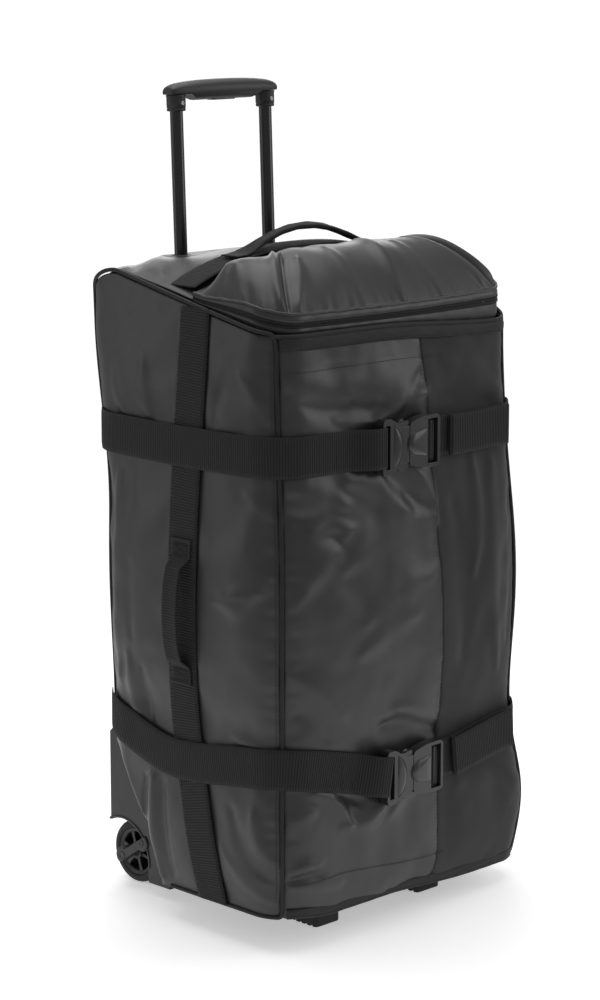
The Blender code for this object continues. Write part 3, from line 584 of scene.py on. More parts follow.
def cloth_place(tree):
    return node(tree, "Attribute", out=1, attribute_name="cloth", attribute_type="GEOMETRY")


def weave(tree, place, pitch):
    """Over-and-under threads of a plain weave, from 0 to 1."""
    x, y = (node(tree, "SeparateXYZ", {0: place}, out=axis) for axis in (0, 1))
    warp = math_node(tree, "SINE", math_node(tree, "MULTIPLY", x, math.pi / pitch))
    weft = math_node(tree, "SINE", math_node(tree, "MULTIPLY", y, math.pi / pitch))
    crossing = math_node(tree, "MULTIPLY", warp, weft)
    return math_node(tree, "MULTIPLY_ADD", crossing, 0.5, 0.5)


def tarpaulin():
    """PVC coated cloth: satin, with a fine grain, a faint scrim below it and rubbed patches."""
    material, tree, shader = surface("tarpaulin", 0.40, Specular_IOR_Level=0.5)
    place = object_place(tree)
    grain = noise(tree, place, 1500.0, 2.0)
    cloud = noise(tree, place, 9.0, 5.0, 0.62)
    scuffs = noise(tree, place, 130.0, 4.0, 0.7)
    scrim = weave(tree, cloth_place(tree), 0.0011)
    shade(tree, shader, remap(tree, cloud, 0.3, 0.7), (0.0140, 0.0142, 0.0147), (0.0205, 0.0208, 0.0215))
    worn = remap(tree, scuffs, 0.5, 0.8, 0.0, 0.10)
    rough = math_node(tree, "ADD", remap(tree, cloud, 0.3, 0.7, 0.37, 0.45), worn)
    tree.links.new(rough, shader.inputs["Roughness"])
    relief(tree, shader, ((scrim, 0.00006, 0.5), (scuffs, 0.0004, 0.18), (grain, 0.00012, 0.55)))
    return material


def matte_fabric():
    """Woven nylon: matte, with visible threads and a soft sheen."""
    material, tree, shader = surface("matte_fabric", 0.85, Sheen_Weight=0.12, Sheen_Roughness=0.5)
    shader.inputs["Specular IOR Level"].default_value = 0.3
    place = object_place(tree)
    threads = weave(tree, cloth_place(tree), 0.00075)
    cloud = noise(tree, place, 14.0, 5.0, 0.6)
    slub = noise(tree, place, 420.0, 3.0)
    tone = math_node(tree, "MULTIPLY_ADD", threads, 0.45, math_node(tree, "MULTIPLY", cloud, 0.55))
    shade(tree, shader, tone, (0.013, 0.013, 0.0137), (0.026, 0.026, 0.0273))
    tree.links.new(remap(tree, cloud, 0.3, 0.7, 0.78, 0.92), shader.inputs["Roughness"])
    relief(tree, shader, ((threads, 0.00016, 0.7), (slub, 0.0003, 0.4)))
    return material


def webbing(name="webbing", dark=(0.0090, 0.0090, 0.0093), light=(0.0270, 0.0270, 0.0280)):
    """Ribbed polyester webbing; the cloth's first direction runs along it, one wave to a rib."""
    material, tree, shader = surface(name, 0.85, Sheen_Weight=0.05, Sheen_Roughness=0.45)
    shader.inputs["Specular IOR Level"].default_value = 0.20
    place = cloth_place(tree)
    x, y = (node(tree, "SeparateXYZ", {0: place}, out=axis) for axis in (0, 1))
    wobble = noise(tree, place, 260.0, 2.0)
    turn = math_node(tree, "MULTIPLY", x, math.tau / RIB_PITCH)
    rib = math_node(tree, "SINE", math_node(tree, "MULTIPLY_ADD", wobble, 1.6, turn))
    yarn = math_node(tree, "SINE", math_node(tree, "MULTIPLY", y, math.tau / 0.00125))
    tone = math_node(tree, "MULTIPLY_ADD", rib, 0.30, math_node(tree, "MULTIPLY_ADD", yarn, 0.12, 0.45))
    fuzz = noise(tree, place, 900.0, 3.0)
    tone = math_node(tree, "MULTIPLY_ADD", fuzz, 0.35, math_node(tree, "SUBTRACT", tone, 0.15))
    shade(tree, shader, tone, dark, light)
    tree.links.new(remap(tree, fuzz, 0.3, 0.7, 0.68, 0.9), shader.inputs["Roughness"])
    relief(tree, shader, ((rib, 0.0003, 0.5), (yarn, 0.00015, 0.5), (fuzz, 0.0002, 0.5)))
    return material


def binding_tape():
    """Smooth woven edge tape and piping cover."""
    material, tree, shader = surface("binding_tape", 0.7, Specular_IOR_Level=0.35)
    place = object_place(tree)
    fine = noise(tree, place, 1100.0, 3.0)
    cloud = noise(tree, place, 40.0, 4.0)
    shade(tree, shader, cloud, (0.005, 0.005, 0.0053), (0.013, 0.013, 0.0137))
    tree.links.new(remap(tree, fine, 0.3, 0.7, 0.56, 0.74), shader.inputs["Roughness"])
    relief(tree, shader, ((fine, 0.0002, 0.6), (cloud, 0.0006, 0.2)))
    return material


def moulded(name, dark, light, roughness, grain=0.35):
    """Injection moulded plastic: eggshell grain, flow clouds and faint scuffs."""
    material, tree, shader = surface(name, roughness)
    place = object_place(tree)
    fine = noise(tree, place, 2300.0, 2.0)
    cloud = noise(tree, place, 24.0, 4.0)
    scuffs = noise(tree, place, 210.0, 5.0, 0.75)
    shade(tree, shader, remap(tree, cloud, 0.3, 0.7), dark, light)
    worn = remap(tree, scuffs, 0.52, 0.78, 0.0, 0.14)
    rough = math_node(tree, "ADD", remap(tree, cloud, 0.3, 0.7, roughness - 0.04, roughness + 0.05), worn)
    tree.links.new(rough, shader.inputs["Roughness"])
    relief(tree, shader, ((fine, 0.00008, grain), (scuffs, 0.00015, 0.15)))
    return material


def metal(name, dark, light, roughness, metallic, scale):
    """Drawn or cast metal with fine marks along its length."""
    material, tree, shader = surface(name, roughness, metallic)
    place = object_place(tree)
    stretched = node(tree, "Mapping", {"Vector": place, "Scale": scale})
    marks = noise(tree, stretched, 60.0, 5.0, 0.65)
    shade(tree, shader, marks, dark, light)
    rough = remap(tree, marks, 0.3, 0.7, roughness - 0.05, roughness + 0.09)
    tree.links.new(rough, shader.inputs["Roughness"])
    relief(tree, shader, ((marks, 0.00004, 0.35),))
    return material


def rubber(name, dark, light):
    """Solid tyre rubber, dusty in patches."""
    material, tree, shader = surface(name, 0.75)
    place = object_place(tree)
    pores = noise(tree, place, 700.0, 4.0)
    dust = noise(tree, place, 60.0, 5.0, 0.7)
    shade(tree, shader, remap(tree, dust, 0.42, 0.75), dark, light)
    tree.links.new(remap(tree, dust, 0.3, 0.7, 0.65, 0.88), shader.inputs["Roughness"])
    relief(tree, shader, ((pores, 0.0002, 0.4),))
    return material


def lining():
    """Thin woven polyester inside."""
    material, tree, shader = surface("lining", 0.7, Sheen_Weight=0.2)
    threads = weave(tree, object_place(tree), 0.0006)
    cloud = noise(tree, object_place(tree), 20.0, 4.0)
    shade(tree, shader, cloud, (0.040, 0.040, 0.042), (0.075, 0.075, 0.078))
    tree.links.new(remap(tree, cloud, 0.3, 0.7, 0.6, 0.8), shader.inputs["Roughness"])
    relief(tree, shader, ((threads, 0.0001, 0.5),))
    return material


TARP = tarpaulin()
MATTE = matte_fabric()
WEBBING = webbing()
TAPE = binding_tape()
THREAD = binding_tape()
THREAD.name = "thread"
SEAM_THREAD = webbing("seam_thread", (0.012, 0.012, 0.0125), (0.040, 0.040, 0.042))
PLASTIC = moulded("moulded_plastic", (0.0085, 0.0085, 0.0089), (0.0125, 0.0125, 0.0130), 0.45)
BUCKLE = moulded("buckle_plastic", (0.012, 0.012, 0.013), (0.020, 0.020, 0.021), 0.30, 0.2)
TUBE = metal("tube", (0.004, 0.004, 0.0045), (0.007, 0.007, 0.008), 0.20, 0.0, (1.0, 1.0, 0.05))
STEEL = metal("steel", (0.30, 0.30, 0.31), (0.50, 0.50, 0.51), 0.32, 1.0, (1.0, 1.0, 1.0))
SLIDER = metal("slider", (0.030, 0.030, 0.032), (0.060, 0.060, 0.063), 0.34, 0.7, (1.0, 1.0, 1.0))
TYRE = rubber("tyre", (0.010, 0.010, 0.010), (0.030, 0.029, 0.028))
FOOT = rubber("rubber", (0.012, 0.012, 0.012), (0.022, 0.022, 0.022))
LINING = lining()


# Body shell

SIDE_COLUMNS = 68
TARP_COLUMNS = 50
MATTE_COLUMNS = 34
SHELL_ROWS = 142
FRONT_COLUMNS = TARP_COLUMNS + MATTE_COLUMNS
SHELL_COLUMNS = 2 * SIDE_COLUMNS + FRONT_COLUMNS
FRONT_SEAM_Z = 0.712


def front_seam(z):
    """Share of the front's width at which the coated and the matte cloth meet."""
    return mix(0.562, 0.595, np.clip((FRONT_RIM_Z - z) / 0.30, 0, 1))


def front_share(column, z):
    """Share of the front's width at a column counted from its left corner."""
    seam = front_seam(z)
    coated = seam * column / TARP_COLUMNS
    return np.where(column <= TARP_COLUMNS, coated, mix(seam, 1.0, (column - TARP_COLUMNS) / MATTE_COLUMNS))


def shell_grid():
    """Points of the left, front and right walls as one grid, and the height of each."""
    rows = np.linspace(0, 1, SHELL_ROWS + 1)[:, None]
    foot = BASE_Z + 0.001
    side = np.linspace(0, 1, SIDE_COLUMNS + 1)[None, :]
    head = side_top(wall("left", side[0], 0.7)[0][:, 1]) - 0.004
    z_side = mix(foot, head[None, :], rows)
    left, _ = tucked(*wall("left", side, z_side))
    right, _ = tucked(*wall("right", side, z_side))
    column = np.arange(FRONT_COLUMNS + 1)[None, :]
    z_front = mix(foot, head[0], rows) + 0 * column
    front, _ = wall("front", front_share(column, z_front), z_front)
    return np.concatenate([left[:, :0:-1], front, right[:, 1:]], 1)


def strap_centre(points):
    """Height of each strap's middle beside every shell point."""
    count = points.shape[1]
    t = np.empty(count)
    t[: SIDE_COLUMNS + 1] = np.linspace(0, SIDE_SHARE, SIDE_COLUMNS + 1)
    t[-SIDE_COLUMNS - 1:] = np.linspace(FRONT_END, 1.0, SIDE_COLUMNS + 1)
    column = np.arange(FRONT_COLUMNS + 1)
    share = front_share(column, LOWER_STRAP_Z)
    t[SIDE_COLUMNS: SIDE_COLUMNS + FRONT_COLUMNS + 1] = SIDE_SHARE + FRONT_SHARE * share
    return [strap_level(name, t)[None, :] for name in ("upper", "lower")]


def shell_hold(points):
    """Where the shell is sewn or strapped down: 1 there, 0 on loose cloth."""
    x, y, z = np.moveaxis(points, -1, 0)
    rows, columns = x.shape
    held = np.zeros((rows, columns))

    def hold(distance, reach, fade):
        np.maximum(held, 1 - ease((distance - reach) / fade), out=held)

    for centre in strap_centre(points):
        hold(np.abs(z - centre), 0.019, 0.010)
    column = np.arange(columns)[None, :] * CELL
    for seam in (0, SIDE_COLUMNS, SIDE_COLUMNS + FRONT_COLUMNS, columns - 1):
        hold(np.abs(column - seam * CELL) + 0 * z, 0.002, 0.010)
    on_side = (column < SIDE_COLUMNS * CELL) | (column > (columns - 1 - SIDE_COLUMNS) * CELL)
    hold(np.where(on_side, np.abs(y - webbing_middle(z)), 1.0), 0.021, 0.008)
    hold(np.where(on_side & (z < 0.215), housing_edge(z) - y, 1.0), 0.000, 0.016)
    row = np.arange(rows)[:, None] * CELL
    hold(row + 0 * z, 0.002, 0.012)
    hold(row[::-1] + 0 * z, 0.002, 0.012)
    on_front = ~on_side
    from_seam = np.abs(z - FRONT_SEAM_Z)
    hold(np.where(on_front, from_seam, 1.0), 0.000, 0.007)
    held *= np.where(on_front & (from_seam < 0.010), 0.6, 1.0)
    return np.clip(held, 0, 1)


def front_folds(x, z):
    """Folds in the front: bunched above and below the buckles, with long diagonals between the straps."""
    marks = (
        ((-0.20, 0.700), (-0.10, 0.672), 0.016, 0.0030, 0.004),
        ((-0.17, 0.668), (-0.05, 0.655), 0.014, -0.0030, -0.006),
        ((-0.10, 0.690), (0.02, 0.664), 0.018, 0.0028, 0.006),
        ((-0.055, 0.640), (0.025, 0.665), 0.010, 0.0042, 0.004),
        ((-0.02, 0.636), (0.02, 0.690), 0.007, -0.0030, 0.002),
        ((-0.12, 0.646), (-0.06, 0.634), 0.008, 0.0030, 0.002),
        ((-0.195, 0.570), (-0.12, 0.545), 0.016, 0.0042, 0.008),
        ((-0.11, 0.572), (-0.02, 0.528), 0.017, 0.0055, 0.012),
        ((-0.05, 0.577), (0.035, 0.520), 0.013, -0.0048, -0.010),
        ((0.00, 0.575), (0.04, 0.505), 0.011, 0.0045, 0.006),
        ((-0.19, 0.535), (-0.13, 0.500), 0.013, -0.0036, 0.006),
        ((-0.17, 0.520), (-0.11, 0.515), 0.009, 0.0032, 0.004),
        ((-0.12, 0.470), (0.03, 0.520), 0.020, 0.0036, 0.012),
        ((-0.19, 0.440), (-0.12, 0.505), 0.012, 0.0028, 0.004),
        ((-0.09, 0.400), (0.02, 0.440), 0.018, 0.0026, 0.008),
        ((-0.10, 0.360), (-0.01, 0.395), 0.013, 0.0020, 0.006),
        ((-0.20, 0.345), (-0.13, 0.290), 0.012, 0.0026, 0.004),
        ((-0.19, 0.300), (-0.15, 0.262), 0.010, -0.0024, 0.004),
        ((-0.06, 0.262), (0.04, 0.236), 0.012, -0.0050, 0.008),
        ((-0.04, 0.282), (0.03, 0.250), 0.009, 0.0026, 0.004),
        ((-0.170, 0.196), (-0.118, 0.149), 0.008, 0.0060, 0.010),
        ((-0.126, 0.148), (-0.050, 0.170), 0.008, 0.0052, -0.012),
        ((-0.132, 0.186), (-0.098, 0.172), 0.009, -0.0060, 0.004),
        ((-0.095, 0.182), (-0.060, 0.186), 0.008, -0.0035, 0.002),
        ((-0.045, 0.148), (0.022, 0.184), 0.009, 0.0034, 0.006),
        ((-0.205, 0.160), (-0.175, 0.176), 0.010, 0.0032, 0.004),
        ((-0.205, 0.104), (-0.165, 0.110), 0.007, 0.0042, 0.003),
        ((-0.205, 0.082), (-0.130, 0.078), 0.008, 0.0036, 0.003),
        ((-0.205, 0.092), (-0.165, 0.094), 0.006, -0.0040, 0.002),
    )
    return sum(crease(x, z, *ends, 1.25 * width, height, bow) for *ends, width, height, bow in marks)


def matte_folds(x, z):
    """Long upright folds in the matte strip."""
    marks = (
        ((0.07, 0.700), (0.17, 0.650), 0.020, 0.0024, 0.010),
        ((0.05, 0.655), (0.15, 0.640), 0.014, -0.0022, 0.004),
        ((0.11, 0.570), (0.10, 0.430), 0.012, 0.0030, 0.010),
        ((0.15, 0.560), (0.155, 0.300), 0.016, 0.0026, -0.012),
        ((0.07, 0.520), (0.08, 0.330), 0.018, -0.0020, 0.008),
        ((0.19, 0.520), (0.185, 0.330), 0.012, -0.0026, 0.006),
        ((0.08, 0.160), (0.17, 0.120), 0.018, 0.0028, 0.010),
        ((0.12, 0.175), (0.20, 0.150), 0.012, -0.0026, 0.004),
    )
    return sum(crease(x, z, *mark) for mark in marks)


def side_folds(y, z):
    """Folds in the side walls, gathered at the straps, the webbing and the wheel housing."""
    marks = (
        ((-0.155, 0.640), (-0.105, 0.700), 0.010, 0.0026, 0.003),
        ((-0.080, 0.700), (-0.066, 0.640), 0.008, -0.0018, 0.003),
        ((-0.100, 0.440), (-0.165, 0.480), 0.012, 0.0032, 0.008),
        ((-0.080, 0.430), (-0.140, 0.445), 0.014, 0.0032, 0.010),
        ((-0.165, 0.530), (-0.120, 0.560), 0.009, 0.0026, 0.003),
        ((-0.160, 0.240), (-0.100, 0.262), 0.009, 0.0024, 0.003),
        ((-0.135, 0.175), (-0.160, 0.120), 0.010, 0.0030, 0.006),
        ((-0.100, 0.172), (-0.165, 0.090), 0.012, -0.0028, 0.010),
        ((-0.085, 0.120), (-0.160, 0.062), 0.010, 0.0024, 0.006),
        ((0.040, 0.185), (0.030, 0.050), 0.010, 0.0045, 0.004),
        ((0.022, 0.185), (0.010, 0.055), 0.007, -0.0032, 0.003),
        ((0.058, 0.180), (0.050, 0.060), 0.006, -0.0040, 0.002),
        ((0.085, 0.330), (0.070, 0.245), 0.012, 0.0034, 0.004),
        ((0.060, 0.320), (0.045, 0.245), 0.008, -0.0024, 0.003),
        ((0.105, 0.560), (0.110, 0.300), 0.014, 0.0034, 0.006),
        ((0.080, 0.570), (0.078, 0.360), 0.012, -0.0020, 0.004),
        ((0.060, 0.700), (0.050, 0.640), 0.014, 0.0024, 0.004),
        ((0.115, 0.690), (0.100, 0.640), 0.012, 0.0028, 0.004),
    )
    return sum(crease(y, z, *mark) for mark in marks)


def make_shell():
    """The three soft walls, settled together and cut into their sewn panels."""
    flat = shell_grid()
    hold = shell_hold(flat)
    points = settle(flat, hold, growth=0.004, pressure=1.2, bending=12.0)
    normals = grid_normals(points)
    x, y, z = np.moveaxis(flat, -1, 0)
    columns = np.arange(SHELL_COLUMNS + 1)[None, :]
    on_left = columns <= SIDE_COLUMNS
    on_right = columns >= SIDE_COLUMNS + FRONT_COLUMNS
    on_matte = ~on_right & (columns > SIDE_COLUMNS + TARP_COLUMNS)
    loose = 1 - hold
    height = np.where(on_matte, matte_folds(x, z), front_folds(x, z))
    height = np.where(on_left | on_right, side_folds(y, z), height)
    along = columns * CELL + 0 * z
    height = height + slack(along, z, seed=7, size=0.120, height=0.0010)
    height = height + slack(along, z, seed=3, size=0.045, height=0.00025)
    height = height * np.minimum(1, loose + 0.15)
    for seam in (SIDE_COLUMNS, SIDE_COLUMNS + FRONT_COLUMNS):
        height = height - 0.0022 * bump(columns * CELL, seam * CELL, 0.006)
    puckers = np.sin(math.tau * z / 0.021 + 2.0 * np.sin(z * 40)) + 0.6 * np.sin(math.tau * z / 0.0137)
    for seam in (SIDE_COLUMNS, SIDE_COLUMNS + FRONT_COLUMNS):
        distance = np.abs(columns - seam) * CELL
        height = height + 0.00045 * puckers * bump(distance, 0.011, 0.009) * loose
    sewn = SIDE_COLUMNS + TARP_COLUMNS
    height = height + 0.0003 * puckers * bump((columns - sewn) * CELL, 0.0, 0.010) - 0.0008 * bump(
        (columns - sewn) * CELL, 0.0, 0.003)
    points = slumped(points + normals * height[..., None])
    places = flat_places(flat)
    right = SIDE_COLUMNS + FRONT_COLUMNS
    cuts = (
        ("side_cloth_left", 0, SIDE_COLUMNS, TARP, "tarpaulin", "side_panel_left"),
        ("front_cloth_coated", SIDE_COLUMNS, sewn, TARP, "tarpaulin", "front_panel"),
        ("front_cloth_matte", sewn, sewn + MATTE_COLUMNS, MATTE, "matte_fabric", "front_side_panel"),
        ("side_cloth_right", right, SHELL_COLUMNS, TARP, "tarpaulin", "side_panel_right"),
    )
    for name, first, last, material, slot, node_name in cuts:
        part = slice(first, last + 1)
        obj = panel(name, points[:, part], material, places=places[:, part])
        stand_for(obj, "bag", slot, node_name)
    return points


SHELL = make_shell()


def cloth_tree():
    """Search tree of the soft walls, for threads and tapes that lie on them."""
    rows, columns = SHELL.shape[:2]
    vertices = [Vector(point) for point in SHELL.reshape(-1, 3)]
    return BVHTree.FromPolygons(vertices, [list(face) for face in grid_faces(rows, columns)])


CLOTH = cloth_tree()


def laid_on(line, lifts, stand):
    """Move a line along its own normals until it lies on the soft walls."""
    laid = line.copy()
    for index, (point, lift) in enumerate(zip(line, lifts)):
        outward = Vector(lift)
        hit = CLOTH.ray_cast(Vector(point) + outward * 0.03, -outward, 0.05)[0]
        if hit is not None:
            laid[index] = hit + outward * stand
    return smooth_line(laid, 2)


# Webbing, tapes and stitches


def rib_wave(distance):
    """Rounded ribs across a strap, from 0 in a groove to 1 on a rib."""
    return np.abs(np.cos(math.pi * distance / RIB_PITCH))


BAND_COLUMNS = 9


def band(name, centres, sides, lifts, width=WEB_WIDTH):
    """A flat ribbed band along a path; sides point across it at each step, and lifts point outwards."""
    count = len(centres)
    run = travelled(centres)
    share = np.linspace(-1, 1, BAND_COLUMNS)
    thinned = mix(0.55, 1.0, 1 - np.abs(share) ** 8)[None, :]
    outer = np.full((count, BAND_COLUMNS), WEB_THICKNESS / 2) * thinned
    inside = np.abs(share) < 0.93
    outer = outer + RIB_DEPTH * (rib_wave(run)[:, None] - 0.5) * inside[None, :]
    inner = -WEB_THICKNESS / 2 * thinned + np.zeros((count, 1))
    spots = centres[:, None, :] + sides[:, None, :] * (share[None, :, None] * (width / 2))
    top = spots + lifts[:, None, :] * outer[..., None]
    low = (spots + lifts[:, None, :] * inner[..., None])[:, ::-1]
    ring = np.concatenate([top, low], 1)
    place = stack(run[:, None], share[None, :] * width / 2, 0.0)
    place = np.concatenate([place, place[:, ::-1]], 1)
    return mesh_object(name, ring, rod_faces(count, 2 * BAND_COLUMNS), WEBBING, place.reshape(-1, 3))


def resample(points, spacing):
    """The same open line with evenly spaced points."""
    run = travelled(points)
    count = max(2, int(round(run[-1] / spacing)) + 1)
    return interpolated(np.linspace(0, run[-1], count), run, points)


def smooth_line(points, rounds):
    """Softens the corners of a line, leaving its ends in place."""
    for _ in range(rounds):
        inner = (points[:-2] + 2 * points[1:-1] + points[2:]) / 4
        points = np.concatenate([points[:1], inner, points[-1:]])
    return points


def tangents(points):
    return unit(np.gradient(points, axis=0))


def tube(name, points, radius, material, sides=8, squash=1.0, lifts=(0.0, 0.0, 1.0)):
    """A round cord along a line; squash flattens it along its lift, one direction or one for each point."""
    forward = tangents(points)
    lifts = np.broadcast_to(lifts, points.shape)
    side = unit(np.cross(forward, lifts))
    lift = np.cross(side, forward)
    angle = np.linspace(0, math.tau, sides, endpoint=False)
    radius = np.broadcast_to(radius, len(points))[:, None, None]
    ring = points[:, None] + radius * (
        side[:, None] * np.cos(angle)[None, :, None] + squash * lift[:, None] * np.sin(angle)[None, :, None]
    )
    return mesh_object(name, ring[:, ::-1], rod_faces(len(points), sides), material)


STITCH = 0.0034
STITCH_GAP = 0.0013
STITCH_RADIUS = 0.00034


def stitches(name, line, lifts, body="bag", material=None):
    """A row of lockstitches lying on a surface: short threads that dip at both ends."""
    step = 0.0004
    fine = resample(line, step)
    run = np.linspace(0, 1, len(fine))
    old = np.linspace(0, 1, len(line))
    up = unit(interpolated(run, old, lifts))
    forward = tangents(fine)
    side = np.cross(forward, up)
    per = int(round(STITCH / step))
    pitch = int(round((STITCH + STITCH_GAP) / step))
    vertices, faces = [], []
    angles = np.linspace(0, math.tau, 4, endpoint=False) + math.pi / 4
    for start in range(0, len(fine) - per, pitch):
        base = len(vertices)
        for k, share in enumerate((0.0, 0.25, 0.75, 1.0)):
            i = start + int(round(share * per))
            rise_here = 0.00018 if 0 < share < 1 else -0.0006
            for angle in angles:
                spoke = side[i] * math.cos(angle) + up[i] * math.sin(angle)
                vertices.append(fine[i] + up[i] * rise_here + spoke * STITCH_RADIUS)
            if k:
                a, b = base + 4 * (k - 1), base + 4 * k
                faces += [[a + j, a + (j + 1) % 4, b + (j + 1) % 4, b + j] for j in range(4)]
    obj = mesh_object(name, vertices, faces, material or THREAD)
    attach(obj, body)
    return obj


def join(name, objects):
    """Several meshes made one piece."""
    with bpy.context.temp_override(active_object=objects[0], selected_editable_objects=objects):
        bpy.ops.object.join()
    objects[0].name = name
    return objects[0]


# Side webbing and straps


def webbing_line(name, first, last, count, offset=0.0, stand=0.0):
    """Points, directions and lift down a side's vertical webbing between two heights."""
    z = np.linspace(first, last, count)
    y = webbing_middle(z) + offset
    points, normals = tucked(*wall(name, side_share(name, y, z), z))
    return points + normals * stand, normals


def make_side_webbing(name):
    """The band down a side from the top seam to the base, with a row of stitches at each edge."""
    count = int(0.73 / BAND_STEP)
    stand = SIDE_WEB_STAND + WEB_THICKNESS / 2
    centres, normals = webbing_line(name, 0.776, 0.045, count, 0.0, stand)
    sides = unit(np.cross(tangents(centres), normals))
    lifts = np.cross(sides, tangents(centres))
    obj = band("side_band_" + name, centres, sides, lifts)
    stand_for(obj, "bag", "webbing", "side_webbing_" + name)
    for edge in (-1, 1):
        line, lift = webbing_line(name, 0.770, 0.050, 300, edge * (WEB_WIDTH / 2 - 0.003), stand + 0.0011)
        stitches(f"side_band_stitch_{name}_{'a' if edge < 0 else 'b'}", line, lift)


def strap_rows(level_name, first, last, stand, lift=None):
    """Middle line, width direction and outer direction of a compression strap.

    lift adds to its stand, given the distance left to its end.
    """
    t = np.linspace(first, last, 500)
    z = strap_level(level_name, t)
    high, _ = round_bag(t, z + WEB_WIDTH / 2)
    low, _ = round_bag(t, z - WEB_WIDTH / 2)
    centre, normal = round_bag(t, z)
    centre = smooth_line(centre + normal * stand, 3)
    if lift is not None:
        left = travelled(centre[::-1])[::-1]
        centre = centre + normal * lift(left)[:, None]
    run = travelled(centre)
    stops = np.linspace(0, run[-1], int(run[-1] / BAND_STEP) + 1)
    across = unit(interpolated(stops, run, high - low))
    return interpolated(stops, run, centre), across, unit(interpolated(stops, run, normal))


def share_at(x, z):
    """Position round the bag of a point on the front wall at a given x."""
    t = np.linspace(SIDE_SHARE, FRONT_END, 2001)
    points, _ = round_bag(t, np.full_like(t, z))
    return float(np.interp(x, points[:, 0], t))


def ribbon_along(name, rows):
    """A strap along its rows, with its width and lift squared up to its run."""
    centres, sides, normals = rows
    forward = tangents(centres)
    lifts = unit(normals - forward * (normals * forward).sum(1, keepdims=True))
    sides = np.cross(forward, lifts) * np.sign((np.cross(forward, lifts) * sides).sum(1, keepdims=True))
    if np.sign(np.cross(sides[0], forward[0]) @ lifts[0]) < 0:
        sides = -sides
    return band(name, centres, sides, lifts)


def over_the_bar(left):
    """The strap climbs over the buckle's end bar and dips into its slot."""
    return 0.0176 * ease((0.052 - left) / 0.038) - 0.0120 * ease((0.0046 - left) / 0.0046)


def through_the_ladder(left):
    """The tail comes up through the outer slot, over the middle bar and down the inner slot."""
    return 0.0118 * ease((0.0185 - left) / 0.0080) - 0.0090 * ease((0.0045 - left) / 0.0045)


def turned_back(first, fold, last, name, stand, gap):
    """A band that runs to a fold and comes back over itself; its loose end stands off straight."""
    under = strap_rows(name, first, fold, stand)
    over = strap_rows(name, fold, last, stand + gap)
    angle = np.linspace(-math.pi / 2, math.pi / 2, 12)[1:-1, None]
    inward = unit(under[0][-1] - under[0][-6])
    rising = unit(over[0][0] - under[0][-1])
    reach = gap / 2
    middle = (under[0][-1] + over[0][0]) / 2
    bend = middle + inward * np.cos(angle) * reach + rising * np.sin(angle) * reach
    onward = unit(over[0][-1] - over[0][-6])
    spare = over[0][-1] + onward * np.arange(BAND_STEP, SPARE_LOOSE, BAND_STEP)[:, None]
    outward = np.concatenate([
        -under[2],
        inward * np.cos(angle) + rising * np.sin(angle),
        over[2],
        np.tile(over[2][-1], (len(spare), 1)),
    ])
    centres = np.concatenate([under[0], bend, over[0], spare])
    forward = tangents(centres)
    sides = unit(np.cross(forward, outward))
    return centres, sides, np.cross(sides, forward)


# Along the strap from the buckle's middle; the spare end's stop is a share of the way round the bag
SOCKET_BAR = 0.0405
LADDER_SLOT = 0.0300
TAIL_FOLD = 0.0825
TAIL_HEM = 0.1000
SPARE_END = 0.655
SPARE_LOOSE = 0.018


def make_straps():
    """Each strap runs from the back left seam to its buckle, and its tail comes from the back right seam.

    The tail's spare end is folded back over it.
    """
    stand = STRAP_STAND + WEB_THICKNESS / 2
    for name, buckle_z in (("upper", UPPER_STRAP_Z), ("lower", LOWER_BUCKLE_Z)):
        left_end = share_at(BUCKLE_X - SOCKET_BAR, buckle_z)
        right_end = share_at(BUCKLE_X + LADDER_SLOT, buckle_z)
        fold = share_at(BUCKLE_X + TAIL_FOLD, buckle_z)
        hem = share_at(BUCKLE_X + TAIL_HEM, buckle_z)
        rows = strap_rows(name, 0.004, left_end, stand, over_the_bar)
        main = ribbon_along(name + "_strap_web", rows)
        stand_for(main, "bag", "webbing", name + "_strap")
        rows = strap_rows(name, 0.996, right_end, stand, through_the_ladder)
        tail = ribbon_along(name + "_strap_tail_web", rows)
        stand_for(tail, "bag", "webbing", name + "_strap_tail")
        rows = turned_back(hem, fold, SPARE_END, name, stand + 0.0030, 0.0066)
        spare = band(name + "_strap_spare_web", *rows)
        fix_normals(spare)
        stand_for(spare, "bag", "webbing")
        make_strap_stitching(name, buckle_z, stand)


def make_strap_stitching(name, buckle_z, stand):
    """Two rows of stitching across the strap behind the buckle, where the strap's end is sewn back."""
    near = share_at(BUCKLE_X - 0.110, buckle_z)
    far = share_at(BUCKLE_X - 0.094, buckle_z)
    for index, t in enumerate((near, far)):
        z = strap_level(name, np.array([t]))[0] + np.linspace(-0.021, 0.021, 40)
        points, normals = round_bag(np.full(40, t), z)
        stitches(f"{name}_strap_tack_{index}", points + normals * (stand + 0.0012), normals)


for _, name in SIDES:
    make_side_webbing(name)
make_straps()


# Back, top and base cloths


def cut_away(obj, planes, inside, near=None):
    """Cuts a cloth along planes, each a point and a normal, then removes the faces whose middle is inside."""
    work = bmesh.new()
    work.from_mesh(obj.data)
    for point, normal in planes:
        faces = [f for f in work.faces if near is None or near(f.calc_center_median())]
        geometry = set(faces)
        for face in faces:
            geometry.update(face.edges)
            geometry.update(face.verts)
        bmesh.ops.bisect_plane(work, geom=list(geometry), dist=1e-5, plane_co=point, plane_no=normal)
    gone = [f for f in work.faces if inside(f.calc_center_median())]
    bmesh.ops.delete(work, geom=gone, context="FACES")
    work.to_mesh(obj.data)
    work.free()


